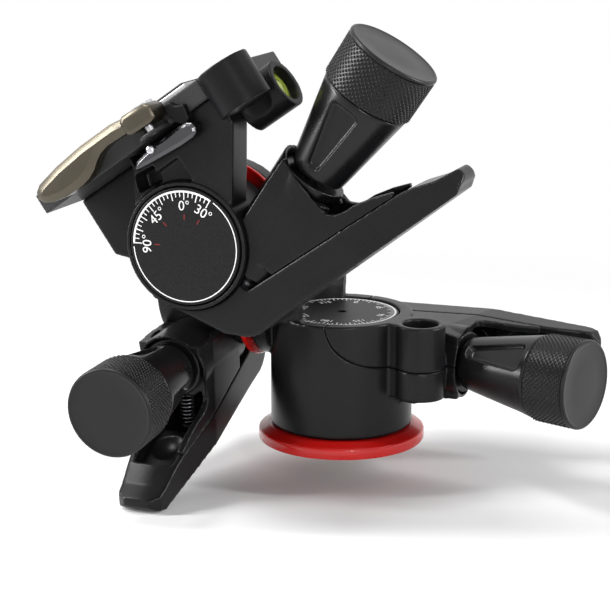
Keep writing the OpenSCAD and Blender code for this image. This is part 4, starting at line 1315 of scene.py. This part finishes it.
@dataclass
class Platform:
    """Clamp frame, camera plate, clamp lever, safety latch and levels."""

    level_x: float = 44.0
    level_z: float = 12.5
    level_r: float = 9.0
    side_y: float = 26.5
    side_z: float = -3.0
    side_r: float = 8.3
    side_end: float = 53.0

    def clamp_lever(self) -> None:
        """Sculpted lever with a sloping border, and the square head over its pin."""
        blade = Bench.drawn("clamp_lever_piece", [
            (-32.4, 39.0), (-31.6, 41.0), (-29.2, 42.5), (-20.4, 44.0), (-9.0, 44.9), (4.0, 44.9),
            (10.0, 44.0), (10.0, 39.4), (-0.5, 39.9), (-4.0, 39.2), (-6.6, 37.9), (-9.3, 36.0),
            (-12.4, 34.8), (-15.7, 34.2), (-22.7, 34.2), (-28.6, 35.4), (-31.4, 37.0)], low=16.6, high=21.6)
        Bench.rounded(Bench.bordered(blade, 2.4, 1.5), 0.3, 2, 20)
        head = Bench.drawn("lever_head", [
            (8.0, 38.8), (7.8, 43.2), (9.6, 44.6), (18.4, 44.0), (20.2, 42.2), (19.9, 38.4), (17.0, 37.6),
            (10.0, 37.9)], low=13.6, high=22.6)
        Bench.rounded(Bench.bordered(head, 1.3, 0.7), 0.3, 2, 20)
        Bench.cut(blade, head, "UNION")
        seat(Bench.smooth(Bench.put(blade, platform_frame()), 35), LEVER_BRONZE, ["clamp_lever"])

    def safety_latch(self) -> None:
        """Blade that thickens towards its right end, with a ball-headed pin."""
        blade = Bench.drawn("safety_latch_piece", [
            (1.7, 29.2), (3.5, 30.8), (7.0, 31.4), (14.0, 31.9), (22.5, 32.2), (25.6, 31.8), (27.4, 30.6),
            (27.7, 29.0), (26.9, 27.4), (25.2, 26.7), (20.1, 26.7), (14.0, 27.2), (6.2, 27.9),
            (2.6, 28.4)], low=13.8, high=18.2)
        Bench.rounded(Bench.bordered(blade, 1.2, 0.8), 0.6, 3, 25)
        Bench.softened(blade, 0.22, 2, 50000)
        seat(Bench.smooth(Bench.put(blade, platform_frame()), 50), LATCH_CHROME, ["safety_latch"])
        pin = Bench.turned("latch_pin_piece", [
            (0.9, 13.1), (0.9, 18.4), (1.25, 18.7), (1.5, 19.2), (1.45, 19.7), (1.1, 20.1), (0.5, 20.3),
            (0.1, 20.32)], 32)
        place = platform_frame() @ shifted(10.6, 31.2, 0)
        seat(Bench.smooth(Bench.put(pin, place), 60), STEEL, ["latch_pin"])

    def lock_lug(self) -> None:
        """Black forked lug beside the lever, above the latch."""
        lug = Bench.drawn("lock_lug", [
            (20.6, 37.4), (21.2, 40.9), (23.6, 40.3), (24.6, 38.4), (25.6, 37.9), (27.6, 37.2), (26.6, 32.4),
            (24.4, 31.0), (22.2, 33.6)], low=12.4, high=17.0)
        Bench.softened(Bench.rounded(lug, 0.5, 2), 0.25, 2, 30000)
        seat(Bench.smooth(Bench.put(lug, platform_frame()), 50), LEVEL_BLACK, body=body_of("clamp_frame"))

    def standing_level(self) -> None:
        """Upright barrel with rounded rims, its fluid and its lens."""
        top = max(p.y for p in node_points("standing_level", platform_frame())) / MM
        place = platform_frame() @ shifted(self.level_x, 0, self.level_z) @ turned_by(x=-90)
        Casting("standing_level", LEVEL_BLACK, 0.3, 8, 40000).build()
        eye = place @ shifted(0, 0, top - 1.0)
        self.vial("standing_vial", place, top - 2.2, self.level_r - 2.6, eye)

    def side_level(self) -> None:
        """Lying barrel with a thick rim, its fluid and its lens."""
        Casting("side_level", LEVEL_BLACK, 0.3, 7, 40000).build()
        place = platform_frame() @ shifted(0, self.side_y, self.side_z) @ turned_by(y=90)
        eye = place @ shifted(0, 0, self.side_end - 2)
        self.vial("side_vial", place, self.side_end - 3.0, self.side_r - 2.3, eye)

    def vial(self, node: str, place: Matrix, face: float, radius: float, eye: Matrix) -> None:
        """Fluid with a domed face, and the clear lens in front of it.

        Args:
            node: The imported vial.
            place: Frame of its barrel, Z outwards.
            face: Height of the fluid's face along the barrel.
            radius: Radius of the bore.
            eye: Frame that the circle is drawn in.
        """
        fluid = Bench.turned(f"{node}_piece", [
            (radius - 0.1, face - 5), (radius - 0.05, face - 0.5), (radius * 0.8, face - 0.22),
            (radius * 0.5, face - 0.08), (radius * 0.2, face), (0.1, face)], 64)
        finish = SpiritFluid(f"{node}_fluid", "vial", (0.60, 0.70, 0.10), 0.1, eye=eye)
        seat(Bench.smooth(Bench.put(fluid, place), 50), finish, [node])
        lens = Bench.turned(f"{node}_lens", [
            (radius - 0.1, face - 0.2), (radius - 0.05, face + 0.35), (radius * 0.8, face + 0.6),
            (radius * 0.5, face + 0.82), (radius * 0.2, face + 0.92), (0.1, face + 0.93), (0.1, face + 0.25),
            (radius * 0.5, face + 0.16), (radius * 0.8, face + 0.02)], 64, hollow=True)
        seat(Bench.smooth(Bench.put(lens, place), 50), LENS, body=body_of(node))

    def build(self) -> None:
        """Build what sits on top of the roll housing."""
        Casting("clamp_frame", FRAME_GREY_PAINTED_LIGHT, 0.4, 4).build()
        Casting("camera_plate", PLATE_GREY, 0.35, 2, 60000).build()
        Casting("plate_pad", PAD_RUBBER, 0.3, 2, 60000).build()
        self.clamp_lever()
        self.safety_latch()
        self.lock_lug()
        self.standing_level()
        self.side_level()
        for node in ("camera_screw", "lever_pin"):
            dress(node, STEEL)


# ---------------------------------------------------------------- studio

WHITE: Colour = (1.0, 1.0, 1.0)
AIM = (-0.01, -0.02, 0.06)


@dataclass(frozen=True)
class Lamp:
    """A soft rectangular lamp: place, width and height in metres, power in watts."""

    name: str
    at: tuple[float, float, float]
    size: tuple[float, float]
    power: float

    def build(self) -> None:
        """Hang the lamp and turn it to the head."""
        bpy.ops.object.light_add(type="AREA", location=self.at)
        lamp = bpy.context.object
        lamp.name = self.name
        lamp.rotation_euler = (Vector(AIM) - Vector(self.at)).to_track_quat("-Z", "Y").to_euler()
        lamp.data.shape = "RECTANGLE"
        lamp.data.size, lamp.data.size_y = self.size
        lamp.data.energy = self.power


LAMPS = (
    Lamp("key_left", (-0.64, -0.32, 0.32), (0.12, 0.42), 6.5),
    Lamp("rim_right", (0.60, 0.10, 0.28), (0.07, 0.42), 3.4),
    Lamp("top", (-0.28, -0.20, 0.68), (0.34, 0.12), 3.8),
    Lamp("front_strip", (0.46, -0.66, 0.26), (0.05, 0.42), 1.9),
)


@dataclass
class Studio:
    """Camera, floor, lamps and world.

    The camera's place and the floor's width are in metres, the camera's pitch
    and turn in degrees, and the ends of the floor's fade in millimetres.
    """

    eye: tuple[float, float, float] = (0.2358, -0.6311, 0.2148)
    pitch: float = 76.15
    turn: float = 21.61
    focal: float = 114.2
    floor_width: float = 6.0
    floor_drop: float = 0.0005
    fade: tuple[float, float] = (150.0, 420.0)
    ambient: float = 0.25

    def camera(self) -> None:
        """Camera at the photograph's angle."""
        bpy.ops.object.camera_add(location=self.eye,
                                  rotation=(math.radians(self.pitch), 0, math.radians(self.turn)))
        camera = bpy.context.object
        camera.data.lens = self.focal
        camera.data.sensor_width = 36.0
        camera.data.clip_start = 0.01
        bpy.context.scene.camera = camera

    def floor(self) -> None:
        """A plain pale floor that fades to white away from the head."""
        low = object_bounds()[0][2]
        Bench.clear()
        bpy.ops.mesh.primitive_plane_add(size=self.floor_width, location=(0, 0, low - self.floor_drop))
        floor = bpy.context.object
        floor.name = "studio_floor"
        bpy.ops.object.transform_apply(location=True)
        tree = ShaderTree("floor_white")
        tree.finish(Base_Color=(0.9, 0.9, 0.9), Roughness=0.95, Specular_IOR_Level=0.1)
        x, y, _ = tree.axes(tree.place())
        white = length_of(x, y).eased(*self.fade) * seen_rays(tree)
        glow = tree.node("ShaderNodeEmission", {}, {"Color": WHITE, "Strength": 1.0})
        mix = tree.node("ShaderNodeMixShader", {}, {0: white, 1: tree.shader.outputs[0], 2: glow.outputs[0]})
        tree.feed(tree.output.inputs["Surface"], mix.outputs[0])
        floor.data.materials.append(tree.material)
        floor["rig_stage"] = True

    def world(self) -> None:
        """Even grey light, and white for what sees the background."""
        world = bpy.data.worlds.new("studio_world")
        bpy.context.scene.world = world
        world.use_nodes = True
        tree = ShaderTree.of_world(world)
        soft, white = (tree.node("ShaderNodeBackground", {}, {0: WHITE, 1: strength}).outputs[0]
                       for strength in (self.ambient, 1.0))
        mix = tree.node("ShaderNodeMixShader", {}, {0: seen_rays(tree), 1: soft, 2: white})
        tree.node("ShaderNodeOutputWorld", {}, {0: mix.outputs[0]})

    def build(self) -> None:
        """Set the whole studio up."""
        self.camera()
        self.world()
        self.floor()
        for lamp in LAMPS:
            lamp.build()
        bpy.context.scene.view_settings.view_transform = "Standard"


def seen_rays(tree: ShaderTree) -> Num:
    """One for rays of the camera, of reflections and through glass."""
    path = tree.node("ShaderNodeLightPath")
    camera, glossy, clear = (Num(tree, path.outputs[name]) for name in
                             ("Is Camera Ray", "Is Glossy Ray", "Is Transmission Ray"))
    return camera.either(glossy).either(clear)


def main() -> None:
    """Build the studio and every sub-assembly in order, and note the sizes."""
    logging.basicConfig(level=logging.INFO, format="%(name)s %(message)s")
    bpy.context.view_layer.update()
    for section in (Studio, Base, PanStage, TiltStage, RollStage):
        section().build()
    for stage in Stage:
        StageDrive(stage).build()


if __name__ == "__main__":
    main()
